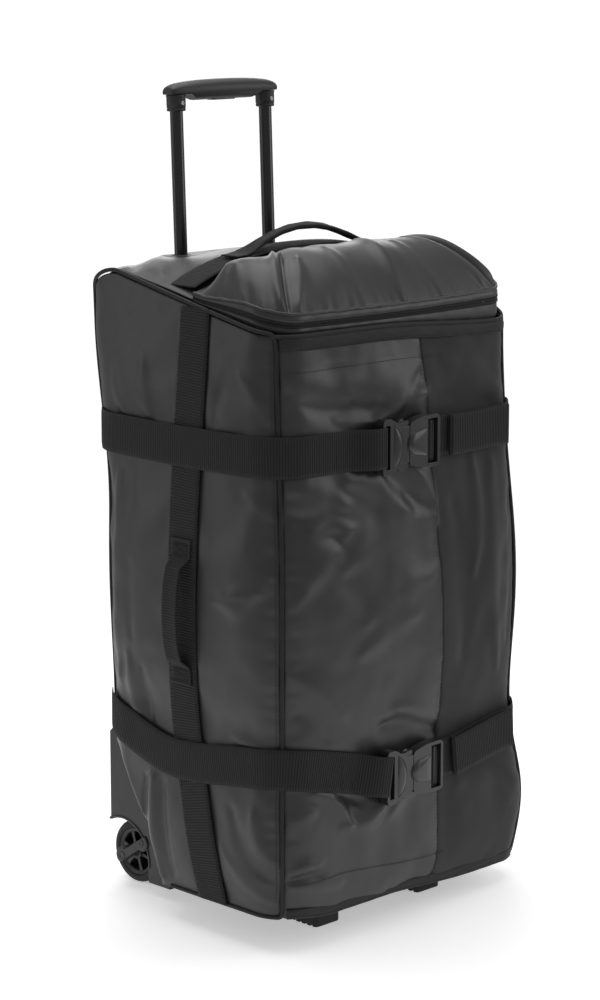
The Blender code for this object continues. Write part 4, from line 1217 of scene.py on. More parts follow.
def clear_housings(obj):
    """Opens a cloth where the moulded wheel housings stand."""
    margin = 0.0012
    planes = [((0, 0, z), (0, 0, 1)) for z in HOUSING_Z[1:-1] + (HOUSING_Z[-1] + margin,)]
    for i in range(len(HOUSING_Z) - 1):
        rise_here = HOUSING_Z[i + 1] - HOUSING_Z[i]
        depth_here = HOUSING_Y[i + 1] - HOUSING_Y[i]
        planes.append(((0, HOUSING_Y[i] - margin, HOUSING_Z[i]), (0, rise_here, -depth_here)))
    for side in (-1, 1):
        planes.append(((side * (HOUSING_INNER_X - margin), 0, 0), (1, 0, 0)))

    def inside(middle):
        if middle.z > HOUSING_Z[-1] + margin or abs(middle.x) < HOUSING_INNER_X - margin:
            return False
        return middle.y > float(housing_edge(min(middle.z, HOUSING_Z[-1]))) - margin

    cut_away(obj, planes, inside, lambda p: p.z < 0.225 and p.y > 0.050 and abs(p.x) > 0.100)


BACK_SEAM_Z = 0.7480


def make_back():
    """The back cloth, and the corded seam where the top's cloth comes down to it."""
    rows = np.linspace(BASE_Z + 0.001, 0.750, 120)[:, None]
    share = np.linspace(0.985, 0.015, 70)[None, :]
    points, normals = wall("back", share, rows)
    across = share * 0.43 + 0 * rows
    loose = np.clip(np.minimum(share - 0.02, 0.98 - share) / 0.06, 0, 1) * ease((0.75 - rows) / 0.05)
    height = slack(across, rows + 0 * share, seed=5, size=0.11, height=0.0012) * loose
    height = height - 0.002 * bump(rows, 0.725, 0.004) * loose
    obj = panel("back_cloth", points + normals * height[..., None], TARP)
    clear_housings(obj)
    stand_for(obj, "bag", "tarpaulin", "back_panel")
    share = np.linspace(0.99, 0.01, 220)
    points, lifts = wall("back", share, BACK_SEAM_Z + 0 * share)
    cord = tube("back_cord", points + lifts * 0.0012, 0.0024, TAPE, sides=10, lifts=lifts)
    stand_for(cord, "bag", "webbing")
    points, lifts = wall("back", share, BACK_SEAM_Z - 0.0065 + 0 * share)
    stitches("back_seam", points + lifts * 0.0008, lifts, material=SEAM_THREAD)


BEZEL_HALF = 0.1040
BEZEL_Y = (0.1262, 0.1688)


def make_top():
    """The cloth behind the lid: it turns down over the back, and it is cut away for the bezel."""
    v = np.linspace(0, 1, 70)[:, None]
    u = np.linspace(0, 1, 130)[None, :]
    angle = np.maximum(v - 0.55, 0) / 0.45 * math.radians(90)
    past = ease((v - 0.80) / 0.20)
    half = HALF_WIDTH - 0.003 - (BACK_RADIUS - 0.032) * past
    x = mix(-half, half, u)
    into_corner = np.clip(np.abs(x) - HALF_WIDTH + BACK_RADIUS, 0, None) / BACK_RADIUS
    corner = BACK_RADIUS * (1 - np.sqrt(1 - into_corner**2))
    reach = back_y(BACK_SEAM_Z) + BACK_BULGE * 0.5 - corner - SHOULDER_Y
    flat_y = mix(HINGE_Y + 0.002, SHOULDER_Y, np.clip(v / 0.55, 0, 1))
    y = flat_y + reach * np.sin(angle)
    start = top_height(x, np.minimum(flat_y, SHOULDER_Y))
    level = start - (start - BACK_SEAM_Z) * (1 - np.cos(angle))
    pressed = ease((0.128 - np.abs(x)) / 0.024) * ease((y - 0.100) / 0.024) * (1 - ease((y - 0.150) / 0.020))
    level = level - 0.0055 * pressed
    near_edge = np.clip(np.minimum(u, 1 - u) / 0.05, 0, 1)
    folds = slack(x, y, seed=11, size=0.09, height=0.0012)
    folds = folds + crease(x, y, (-0.19, 0.06), (-0.13, 0.13), 0.013, 0.0026, 0.005)
    folds = folds + crease(x, y, (0.19, 0.05), (0.12, 0.13), 0.013, 0.0026, -0.005)
    folds = folds - crease(x, y, (-0.20, 0.10), (-0.12, 0.17), 0.010, 0.0022, 0.003)
    folds = folds * near_edge * ease((y - 0.030) / 0.030)
    points = stack(x, y, level + folds)
    obj = panel("top_cloth", points, TARP)
    low, high = BEZEL_Y
    planes = [((side * BEZEL_HALF, 0, 0), (1, 0, 0)) for side in (-1, 1)]
    planes += [((0, edge, 0), (0, 1, 0)) for edge in BEZEL_Y]
    cut_away(obj, planes, lambda p: abs(p.x) < BEZEL_HALF and low < p.y < high, lambda p: p.y > 0.10)
    stand_for(obj, "bag", "tarpaulin", "top_panel")


def base_line(count, inset, level):
    """Plan of the base, once round: front left to right, then the right, back and left walls."""
    u = np.linspace(0, 1, count, endpoint=False)
    parts = []
    for name, flip in (("front", False), ("right", False), ("back", True), ("left", True)):
        share = 1 - u if flip else u
        points, normals = wall(name, share, level)
        points, _ = tucked(points, normals)
        parts.append(points - normals * inset)
    return np.concatenate(parts)


def make_base():
    """The base cloth, closed over its stiffener, and rounded up at its edge."""
    rings = []
    outline = base_line(60, 0.004, BASE_Z)
    middle = outline.mean(0)
    turn_up = ((1.0, 0.0042), (1.0, 0.0012), (0.992, 0.0002))
    for share, level in turn_up + tuple((share, 0.0) for share in (0.97, 0.85, 0.6, 0.3)):
        ring = mix(middle, outline, share)
        ring[:, 2] = BASE_Z + level
        rings.append(ring)
    points = slumped(np.array(rings)[:, ::-1])
    folds = slack(points[..., 0], points[..., 1], seed=15, size=0.07, height=0.0008)
    points[3:, :, 2] += np.maximum(folds[3:], -0.0002)
    obj = mesh_object("base_cloth", points, grid_faces(*points.shape[:2], closed=True), MATTE, points)
    last = (len(rings) - 1) * points.shape[1]
    work = bmesh.new()
    work.from_mesh(obj.data)
    work.verts.ensure_lookup_table()
    work.faces.new([work.verts[last + i] for i in range(points.shape[1])])
    bmesh.ops.recalc_face_normals(work, faces=work.faces)
    work.to_mesh(obj.data)
    work.free()
    clear_housings(obj)
    thick = obj.modifiers.new("thickness", "SOLIDIFY")
    thick.thickness = 0.003
    thick.offset = -1.0
    stand_for(obj, "bag", "matte_fabric", "base_panel")


# Pipings, bindings and seam stitching


def seam_line(name):
    """Seam round one side panel: up the back corner, over the top, down the front corner, along the base."""
    parts = [wall(name, 1.0, np.linspace(0.226, 0.775, 140))]
    share = np.linspace(1.0, 0.0, 160)[1:-1]
    reference, _ = wall(name, share, 0.7)
    over, outward = wall(name, share, side_top(reference[:, 1]))
    parts.append((over, unit(outward + np.array([0, 0, 0.4]))))
    parts.append(wall(name, 0.0, np.linspace(FRONT_RIM_Z, BASE_Z + 0.003, 170)))
    along = np.linspace(0.0, 0.59, 110)[1:]
    parts.append(tucked(*wall(name, along, BASE_Z + 0.003)))
    points = np.concatenate([p for p, _ in parts])
    normals = np.concatenate([n for _, n in parts])
    return smooth_line(points, 6), unit(smooth_line(normals, 6))


PIPE = 0.0026
SEAM_STAND = 0.0012


def make_side_piping(name):
    """Corded piping with a flat flange sewn behind it."""
    points, normals = seam_line(name)
    obj = tube("side_cord_" + name, slumped(points + normals * 0.0006), PIPE, TAPE, sides=10, lifts=normals)
    stand_for(obj, "bag", "webbing", "side_piping_" + name)
    for share, foot, label in ((0.022, 0.06, "front"), (0.978, 0.24, "back")):
        line, lift = wall(name, share, np.linspace(foot, 0.735, 260))
        line = laid_on(slumped(line), lift, SEAM_STAND)
        stitches(f"side_seam_{name}_{label}", line, lift, material=SEAM_THREAD)


def make_front_trim():
    """Bindings along the front's top and bottom, the cord round the rim, and the seams across the front."""
    t = np.linspace(0.012, 0.985, 240)
    bindings = (
        ("front_top_binding", 0.7325, 0.7500, 0.0030),
        ("front_base_binding", BASE_Z + 0.0005, BASE_Z + 0.0145, 0.0012),
    )
    for name, low, high, stand in bindings:
        rows = []
        for k, share in enumerate(np.linspace(0, 1, 9)):
            proud = stand * (1 - abs(2 * share - 1) ** 3) + 0.0004
            z = mix(low, high, share)
            ripple = 0.0003 * np.sin(t * 61) * np.sin(t * 23 + 1.3 * k)
            points, normals = wall("front", t, z + 0 * t)
            rows.append(points + normals * (proud + ripple)[:, None])
        points = np.array(rows)
        obj = panel(name, slumped(points), TAPE, levels=0, thickness=0.0012)
        stand_for(obj, "bag", "webbing")
        edge, normals = wall("front", t, mix(low, high, 0.16) + 0 * t)
        line = slumped(edge + normals * (0.5 * stand + 0.0013))
        stitches(name + "_stitch", line, normals, material=SEAM_THREAD)
    w = np.linspace(0.165, 0.835, 260)
    points, normals = rim(w)
    points = points + normals * -0.0004 + np.array([0, 0, 0.0022])
    obj = tube("rim_cord", slumped(points), 0.0029, TAPE, sides=10, lifts=normals)
    stand_for(obj, "bag", "webbing")
    seams = (("front_seam_high", 0.7085, -0.001, 0.66), ("front_seam_low", 0.083, 0.006, 0.62))
    for name, level, bow, last in seams:
        share = np.linspace(0.03, last, 300)
        points, normals = wall("front", share, level + bow * np.sin(share * 9))
        stitches(name, laid_on(slumped(points), normals, SEAM_STAND), normals, material=SEAM_THREAD)
    z = np.linspace(0.045, 0.728, 420)
    points, normals = wall("front", front_seam(z) - 0.008, z)
    stitches("front_seam_upright", laid_on(slumped(points), normals, 0.0013), normals, material=SEAM_THREAD)


make_back()
make_top()
make_base()
for _, name in SIDES:
    make_side_piping(name)
make_front_trim()


# Top webbing and handles


TOP_WEB_HALF = 0.1995
TOP_WEB_WIDTH = 0.047
TOP_WEB_Y = 0.012


def make_top_webbing():
    """The band across the top, just behind the lid's hinge."""
    count = int(0.40 / BAND_STEP)
    x = np.linspace(-TOP_WEB_HALF, TOP_WEB_HALF, count)
    y = np.full_like(x, TOP_WEB_Y)
    slope = (top_height(x + 0.004, y) - top_height(x - 0.004, y)) / 0.008
    lifts = unit(stack(-slope, 0.0 * x, 1.0))
    centres = stack(x, y, top_height(x, y)) + lifts * 0.0030
    sides = np.tile([0.0, 1.0, 0.0], (count, 1))
    obj = band("top_band", centres, sides, lifts, TOP_WEB_WIDTH)
    stand_for(obj, "bag", "webbing", "top_webbing")
    for edge in (-1, 1):
        line = stack(x, y + edge * 0.0200, centres[:, 2] + 0.0012)
        stitches("top_band_stitch_" + ("front" if edge < 0 else "back"), line[20:-20], lifts[20:-20])


def arch_line(marks, steps, rounds=60):
    """A smooth line through marks of (place, height)."""
    marks = np.array(marks)
    place = np.linspace(marks[0, 0], marks[-1, 0], steps)
    height = np.interp(place, marks[:, 0], marks[:, 1])
    return smooth_line(stack(place, height, 0.0), rounds)[:, :2].T


GRAB_Y = 0.008
HANDLE_HALF = ((0.018, 0.029), (0.048, 0.024), (0.076, 0.015), (0.094, 0.006), (0.108, 0.001), (0.126, 0.0))
HANDLE_MARKS = tuple((-x, z) for x, z in reversed(HANDLE_HALF)) + HANDLE_HALF


def folded_webbing(name, rows, width, thickness, folded, cup, ribbing):
    """Webbing folded double into a rounded bar, and its height; folded is 1 on the grip, 0 at its ends."""
    centres, sides, lifts = rows
    run = travelled(centres)
    angle = np.linspace(0, math.tau, 28, endpoint=False)
    cross = np.sign(np.cos(angle)) * np.abs(np.cos(angle)) ** 0.35
    thick = np.sign(np.sin(angle)) * np.abs(np.sin(angle)) ** 0.7
    height = thickness[:, None] * (1 + ribbing * np.sin(math.tau * run / RIB_PITCH))[:, None]
    cupped = -cup * folded[:, None] * (1 - cross[None, :] ** 2)
    ring = centres[:, None] + sides[:, None] * (cross[None, :, None] * width[:, None, None] / 2)
    ring = ring + lifts[:, None] * (thick[None, :] * height / 2 + cupped)[..., None]
    place = stack(run[:, None], (cross * 0.02)[None, :], 0.0)
    faces = rod_faces(len(centres), len(angle))
    return mesh_object(name, ring, faces, WEBBING, place.reshape(-1, 3)), height


def make_grab_handle():
    """Webbing folded double over its middle, with its flat ends box-stitched to the top."""
    x, lift = arch_line(HANDLE_MARKS, 560)
    base = float(top_height(0.1, GRAB_Y)) + 0.0045
    z = np.maximum(base + lift, top_height(x, GRAB_Y) + 0.0046)
    z = smooth_line(stack(x, z, 0.0), 20)[:, 1]
    folded = ease((0.105 - np.abs(x)) / 0.030)
    lean = 0.004 * np.sin(x * 18) * folded
    centres = stack(x, GRAB_Y + lean, z)
    forward = tangents(centres)
    twist = 0.16 * np.sin(x * 26) * folded
    sides = unit(stack(0.0 * x, np.cos(twist), np.sin(twist)))
    lifts = unit(np.cross(forward, sides))
    width = mix(0.030, 0.0250, folded)
    thickness = mix(0.0022, 0.0062, folded)
    rows = (centres, sides, lifts)
    obj, height = folded_webbing("grab_handle_webbing", rows, width, thickness, folded, 0.0016, 0.05)
    stand_for(obj, "bag", "webbing", "grab_handle")
    for edge in (-1, 1):
        inner = np.abs(x) < 0.088
        surface_height = 0.47 * height - 0.0008 * folded[:, None] + 0.0001
        line = centres + lifts * surface_height + sides * (edge * width[:, None] * 0.36)
        stitches("grab_handle_stitch_" + ("a" if edge < 0 else "b"), line[inner], lifts[inner])
    for side, label in SIDES:

        def place_on(a, b, side=side):
            x_here = side * (0.114 + a)
            height_here = top_height(x_here, GRAB_Y) + 0.0072
            return np.stack([x_here, GRAB_Y + b, height_here], -1), np.array([0.0, 0.0, 1.0])

        tack_box("grab_handle_tack_" + label, place_on, 0.009, 0.010)


def tack_box(name, place, half_long, half_wide):
    """A stitched box with a cross in it; place(a, b) gives the surface at two distances from its middle."""
    corners = ((-1, -1), (1, -1), (1, 1), (-1, 1), (-1, -1), (1, 1), (1, -1), (-1, 1))
    points, lifts = [], []
    for (a0, b0), (a1, b1) in zip(corners, corners[1:]):
        for t in np.linspace(0, 1, 12):
            point, lift = place(mix(a0, a1, t) * half_long, mix(b0, b1, t) * half_wide)
            points.append(point)
            lifts.append(lift)
    stitches(name, np.array(points), np.array(lifts))


SIDE_HANDLE_Y = -0.018
SIDE_HANDLE_Z = 0.405
SIDE_HANDLE_MARKS = (
    (0.318, 0.0), (0.338, 0.0005), (0.347, 0.012), (0.370, 0.0165), (SIDE_HANDLE_Z, 0.018),
    (0.440, 0.0165), (0.463, 0.012), (0.472, 0.0005), (0.492, 0.0),
)


def make_side_handle(name):
    """Webbing folded over its grip, with its flat ends box-stitched to the side's band."""
    z, stand = arch_line(SIDE_HANDLE_MARKS, 420, 30)
    base, normals = wall(name, side_share(name, np.full_like(z, SIDE_HANDLE_Y), z), z)
    folded = ease((0.072 - np.abs(z - SIDE_HANDLE_Z)) / 0.018)
    centres = base + normals * (stand + 0.0045)[:, None]
    forward = tangents(centres)
    sides = unit(np.cross(forward, normals))
    lifts = np.cross(sides, forward)
    width = mix(0.034, 0.026, folded)
    thickness = mix(0.0020, 0.0036, folded)
    rows = (centres, sides, lifts)
    obj, _ = folded_webbing("side_handle_webbing_" + name, rows, width, thickness, folded, 0.0014, 0.06)
    fix_normals(obj, merge=False)
    stand_for(obj, "bag", "webbing", "side_handle_" + name)
    for end, label in ((0.327, "low"), (0.483, "high")):

        def place_on(a, b, end=end):
            z_here = end + a
            point, lift = wall(name, side_share(name, SIDE_HANDLE_Y + b, z_here), z_here)
            return point + lift * 0.0062, lift

        tack_box(f"side_handle_tack_{name}_{label}", place_on, 0.007, 0.011)
        bars = [wall(name, side_share(name, -0.018, end + k), end + k)[0] for k in (-0.0105, 0.0105)]
        outward = wall(name, side_share(name, -0.018, end), end)[1]
        fold = np.linspace(-0.017, 0.017, 24)
        edge = bars[0 if label == "low" else 1]
        line = edge + np.array([0.0, 1.0, 0.0]) * fold[:, None] + outward * 0.0040
        cord = tube(f"side_handle_fold_{name}_{label}", line, 0.0024, WEBBING, sides=10, lifts=outward)
        stand_for(cord, "bag", "webbing")


make_top_webbing()
make_grab_handle()
for sign, name in SIDES:
    make_side_handle(name)


# Lid and zip

RIM_LENGTH = 0.689
LID_REACH = 0.155
CORNER_SHARES = (0.206, 0.794)


def lid_frame(u):
    """The lid's line drawn in to its band, its outward direction, and its share of the band's height."""
    points, normals = rim(u)
    share = rise(points[:, 1])
    level = side_top(points[:, 1])
    points = points - normals * LID_INSET
    points[:, 2] = level
    return points, normals, share


def band_grid(u, low, high, rows, puff):
    """A strip between two heights above the lid's line; below the zip it follows the rim's dip."""
    base, normals, share = lid_frame(u)
    across = np.linspace(0, 1, rows)[:, None]
    points = base[None] + normals[None] * (puff * np.sin(math.pi * across) + 0.0006)[..., None]
    height = mix(low, high, across)
    dip = rim_dip(points[..., 0], points[..., 1]) * (1 - ease(height / ZIP_RISE))
    points[..., 2] += height * share[None, :] - dip
    return points


def lid_ends(u):
    """0 at both ends of the hinge, where the lid lies flat on the top, and 1 between them."""
    return ease(np.minimum(u, 1 - u) / 0.075)


def lid_shape(u, v):
    """The lid without its folds; u runs round its edge and v from the edge to the hinge."""
    edge, _, share = lid_frame(u[0])
    edge = edge[None] + 0 * v[..., None]
    edge[..., 2] += SEAM_RISE * share[None, :] + 0.0003
    hinge_half = 0.84 * (HALF_WIDTH - LID_INSET)
    x = mix(-hinge_half, hinge_half, u) + 0 * v
    hinge = stack(x, HINGE_Y, top_height(x, HINGE_Y) + 0.002)
    points = mix(edge, hinge, v[..., None])
    domed = mix(edge[..., 2], hinge[..., 2], 1 - (1 - v) ** 3) + LID_CROWN * np.sin(math.pi * v)
    points[..., 2] = mix(points[..., 2], domed, lid_ends(u))
    return points


def lid_folds(u, v):
    """Darts at both front corners, folds fanning up from the seam, and puckers along it."""
    s, t = u * RIM_LENGTH, v * LID_REACH
    left, right = (share * RIM_LENGTH for share in CORNER_SHARES)
    height = -crease(s, t, (left + 0.014, 0.002), (left + 0.030, 0.095), 0.0045, 0.0050, 0.004)
    height += crease(s, t, (left + 0.002, 0.012), (left + 0.014, 0.100), 0.013, 0.0050, 0.004)
    height += crease(s, t, (left + 0.032, 0.010), (left + 0.050, 0.060), 0.012, 0.0034, -0.003)
    height -= crease(s, t, (right - 0.010, 0.004), (right - 0.028, 0.110), 0.0050, 0.0055, -0.004)
    height += crease(s, t, (right + 0.006, 0.012), (right - 0.012, 0.115), 0.013, 0.0050, -0.003)
    height += crease(s, t, (right - 0.034, 0.012), (right - 0.046, 0.100), 0.016, 0.0030, 0.004)
    fans = ((0.285, 0.085, -0.014, 0.0020), (0.352, 0.105, 0.030, 0.0030), (0.425, 0.080, 0.014, 0.0018),
            (0.085, 0.060, -0.012, 0.0018), (0.600, 0.080, -0.012, 0.0020))
    for place, reach, shift, size in fans:
        height += crease(s, t, (place, 0.003), (place + shift, reach), 0.014, size, 0.003)
    puckers = np.sin(math.tau * s / 0.027 + 2.1 * np.sin(s * 31)) + 0.5 * np.sin(math.tau * s / 0.0145)
    height += 0.0004 * puckers * np.exp(-((t / 0.014) ** 2))
    height += slack(s, t, seed=21, size=0.130, height=0.0016) * ease(t / 0.03)
    return height * lid_ends(u)


def make_lid():
    """The domed lid, its edge turned under where it is sewn to its band."""
    u = np.linspace(0.0, 1.0, 261)[None, :]
    v = np.linspace(0.0, 1.0, 64)[:, None] ** 0.85
    points = lid_shape(u, v)
    normals = grid_normals(points)
    fixed = np.clip(np.minimum(u, 1 - u) / 0.04, 0.15, 1) * ease((1 - v) / 0.10)
    points = points + normals * (lid_folds(u, v) * fixed)[..., None]
    tuck = np.exp(-((v * LID_REACH / 0.004) ** 2))
    points[..., 2] -= 0.0010 * tuck
    obj = panel("lid_cloth", points, TARP)
    stand_for(obj, "lid", "tarpaulin", "lid")


def make_bands():
    """The fabric bands on either side of the zip, their tapes, teeth and cords."""
    u = np.linspace(0.0, 1.0, 420)
    split = ZIP_RISE
    bands = (
        ("zip_band", "bag", "zip_gusset", 0.0006, split - 0.0016, 0.0011),
        ("lid_band", "lid", "lid_gusset", split + 0.0016, SEAM_RISE - 0.0016, 0.0016),
    )
    for name, body, node_name, low, high, puff in bands:
        points = band_grid(u, low, high, 12, puff)
        ripple = 0.0005 * np.sin(u * 95) * np.sin(np.linspace(0, math.pi, 12))[:, None] * np.sin(u * 37 + 1)
        points = points + lid_frame(u)[1][None] * ripple[..., None]
        obj = panel(name, points, TARP, levels=0, thickness=0.0012)
        stand_for(obj, body, "tarpaulin", node_name)
    tapes = (("low", "bag", split - 0.0030, split - 0.0007), ("high", "lid", split + 0.0007, split + 0.0030))
    for label, body, low, high in tapes:
        points = band_grid(u, low, high, 5, 0.0)
        points = points + lid_frame(u)[1][None] * 0.0016
        obj = panel("zip_tape_" + label, points, WEBBING, levels=0, thickness=0.0006)
        stand_for(obj, body, "webbing")
        edge = points[0 if label == "low" else -1]
        inset = 0.0009 if label == "low" else -0.0009
        line = edge + np.array([0, 0, inset]) + lid_frame(u)[1] * 0.0004
        stitches("zip_tape_stitch_" + label, line, lid_frame(u)[1], body, SEAM_THREAD)
    make_teeth()
    base, normals, share = lid_frame(np.linspace(0.0, 1.0, 400))
    line = base + stack(0.0, 0.0, (SEAM_RISE - 0.0006) * share) + normals * 0.0004
    wave = 0.0005 * np.sin(np.linspace(0, 1, 400) * 160) * np.sin(np.linspace(0, 1, 400) * 61)
    cord = tube("lid_seam_cord", line + stack(0.0, 0.0, wave), 0.0021, TARP, sides=8, lifts=normals)
    stand_for(cord, "lid", "tarpaulin")


TOOTH_PITCH = 0.0022
TOOTH_CORNERS = (
    (-1, -1, -1), (1, -1, -1), (1, 1, -1), (-1, 1, -1),
    (-0.7, -0.8, 1), (0.7, -0.8, 1), (0.7, 0.8, 1), (-0.7, 0.8, 1),
)
BOX_FACES = ((3, 2, 1, 0), (4, 5, 6, 7), (0, 1, 5, 4), (1, 2, 6, 5), (2, 3, 7, 6), (3, 0, 4, 7))


def make_teeth():
    """Interleaved coil teeth, the lower row on the bag and the upper row on the lid."""
    fine = np.linspace(0.012, 0.988, 4000)
    base, normals, share = lid_frame(fine)
    base = base + stack(0.0, 0.0, ZIP_RISE * share)
    run = travelled(base)
    for label, body, offset, side in (("low", "bag", 0.0, -1), ("high", "lid", 0.5, 1)):
        stops = (np.arange(int(run[-1] / TOOTH_PITCH) - 1) + offset) * TOOTH_PITCH + 0.001
        centre = interpolated(stops, run, base)
        outward = unit(interpolated(stops, run, normals))
        along = tangents(centre)
        up = unit(np.cross(outward, along))
        up = up * np.sign(up[:, 2:3])
        corners = []
        for a, b, c in TOOTH_CORNERS:
            corner = centre + up * (side * 0.0009) + along * (a * 0.00046)
            corners.append(corner + up * (b * 0.0011) + outward * (0.0014 + 0.0005 * c))
        points = np.stack(corners, 1)
        faces = (np.arange(len(stops))[:, None, None] * 8 + np.array(BOX_FACES)[None]).reshape(-1, 4)
        obj = mesh_object("zip_teeth_" + label, points, faces, SLIDER)
        fix_normals(obj)
        obj.data.shade_flat()
        stand_for(obj, body, "slider")


make_lid()
make_bands()


# Moulded and turned parts


def bake(obj):
    """Puts the result of an object's modifiers into its mesh."""
    done = obj.evaluated_get(bpy.context.evaluated_depsgraph_get())
    mesh = bpy.data.meshes.new_from_object(done)
    obj.modifiers.clear()
    obj.data = mesh
    return obj


def soften(obj, width, segments=3, angle=35.0):
    """Rounds the sharp edges of a hard part."""
    edge = obj.modifiers.new("edges", "BEVEL")
    edge.width = width
    edge.segments = segments
    edge.angle_limit = math.radians(angle)
    edge.harden_normals = True
    return bake(obj)


def carve(obj, *cutters):
    """Cuts closed shapes out of a part and removes them."""
    for cutter in cutters:
        hole = obj.modifiers.new("hole", "BOOLEAN")
        hole.object = cutter
        hole.solver = "EXACT"
    bake(obj)
    for cutter in cutters:
        bpy.data.objects.remove(cutter)
    return obj


def prism(name, outline, low, high, material, axis="Y"):
    """A solid of constant section: an outline of (a, b) pairs between two levels along an axis."""
    rings = []
    for level in (low, high):
        for a, b in outline:
            rings.append({"X": (level, a, b), "Y": (a, level, b), "Z": (a, b, level)}[axis])
    count = len(outline)
    faces = [[i, (i + 1) % count, count + (i + 1) % count, count + i] for i in range(count)]
    faces += [list(range(count))[::-1], list(range(count, 2 * count))]
    obj = mesh_object(name, rings, faces, material)
    fix_normals(obj)
    return obj


def block(name, low, high, material):
    outline = ((low[0], low[2]), (high[0], low[2]), (high[0], high[2]), (low[0], high[2]))
    return prism(name, outline, low[1], high[1], material)


def turned(name, profile, steps, material, axis="Z", centre=(0.0, 0.0, 0.0), closed=True):
    """A profile of (radius, level) pairs turned about an axis; a closed profile makes a ring."""
    angle = np.linspace(0, math.tau, steps, endpoint=False)
    profile = np.array(profile)
    radius, level = profile[:, :1], profile[:, 1:]
    first, second = radius * np.cos(angle), radius * np.sin(angle)
    level = level + 0 * first
    order = {"Z": (first, second, level), "X": (level, first, second), "Y": (second, level, first)}[axis]
    points = np.stack(order, -1) + np.array(centre)
    if closed:
        points = np.concatenate([points, points[:1]])
    faces = grid_faces(*points.shape[:2], closed=True)
    obj = mesh_object(name, points, faces, material)
    fix_normals(obj)
    return obj


def rounded(points, radius, steps=5):
    """A closed outline with its corners rounded."""
    result = []
    count = len(points)
    for i in range(count):
        before, here, after = (np.array(points[(i + k) % count], float) for k in (-1, 0, 1))
        reach = radius[i] if isinstance(radius, (list, tuple)) else radius
        limit = 0.45 * min(np.linalg.norm(before - here), np.linalg.norm(after - here))
        reach = min(reach, limit)
        start = here + unit(before - here) * reach
        end = here + unit(after - here) * reach
        for t in np.linspace(0, 1, steps):
            result.append(tuple((1 - t) ** 2 * start + 2 * t * (1 - t) * here + t**2 * end))
    return result


def dome(name, outline, base, height, material, rings=7):
    """A shallow cushion over an outline in the x-z plane, rising towards -Y from a base level."""
    outline = np.array(outline)
    middle = outline.mean(0)
    points = []
    for share in np.linspace(0, 0.5 * math.pi, rings):
        ring = middle + (outline - middle) * max(math.cos(share), 0.02)
        lift = height * math.sin(share)
        points.append([(a, base - lift, b) for a, b in ring])
    low = [(a, base + 0.001, b) for a, b in outline]
    grid = np.array([low] + points)
    faces = [list(face) for face in grid_faces(*grid.shape[:2], closed=True)]
    count = len(outline)
    last = (len(grid) - 1) * count
    faces += [list(range(count)), [last + i for i in range(count)]]
    obj = mesh_object(name, grid, faces, material)
    fix_normals(obj)
    return obj


def place(obj, matrix):
    obj.data.transform(matrix)
    return obj


# Buckles, in a frame of their own: x along the strap, z across it, -y away from the bag

def mirrored(outline):
    """The other half of an outline, across the strap's middle."""
    return tuple((a, -b) for a, b in reversed(outline))


SOCKET_HALF = (
    (-0.0500, -0.0290), (-0.0480, -0.0340), (-0.0365, -0.0345), (-0.0300, -0.0310), (-0.0245, -0.0275),
    (-0.0060, -0.0292), (-0.0040, -0.0270),
)
SOCKET_OUTLINE = SOCKET_HALF + mirrored(SOCKET_HALF)
SOCKET_HALF_ROUND = (0.003, 0.006, 0.006, 0.004, 0.006, 0.002, 0.001)
SOCKET_ROUND = SOCKET_HALF_ROUND + SOCKET_HALF_ROUND[::-1]
PLUG_HALF = ((-0.0036, -0.0255), (0.0060, -0.0285), (0.0200, -0.0315), (0.0440, -0.0325), (0.0500, -0.0290))
PLUG_OUTLINE = PLUG_HALF + mirrored(PLUG_HALF)
PRONG_OUTLINE = (
    (-0.0042, 0.0090), (-0.0042, 0.0160), (-0.0105, 0.0185), (-0.0110, 0.0290), (-0.0120, 0.0312),
    (-0.0180, 0.0312), (-0.0225, 0.0270), (-0.0225, 0.0215), (-0.0120, 0.0130),
)


def arc(centre, radius, first, last, steps):
    """Points on a round arc between two angles in degrees."""
    angles = [math.radians(mix(first, last, k / steps)) for k in range(steps + 1)]
    return [(centre[0] + radius * math.cos(angle), centre[1] + radius * math.sin(angle)) for angle in angles]


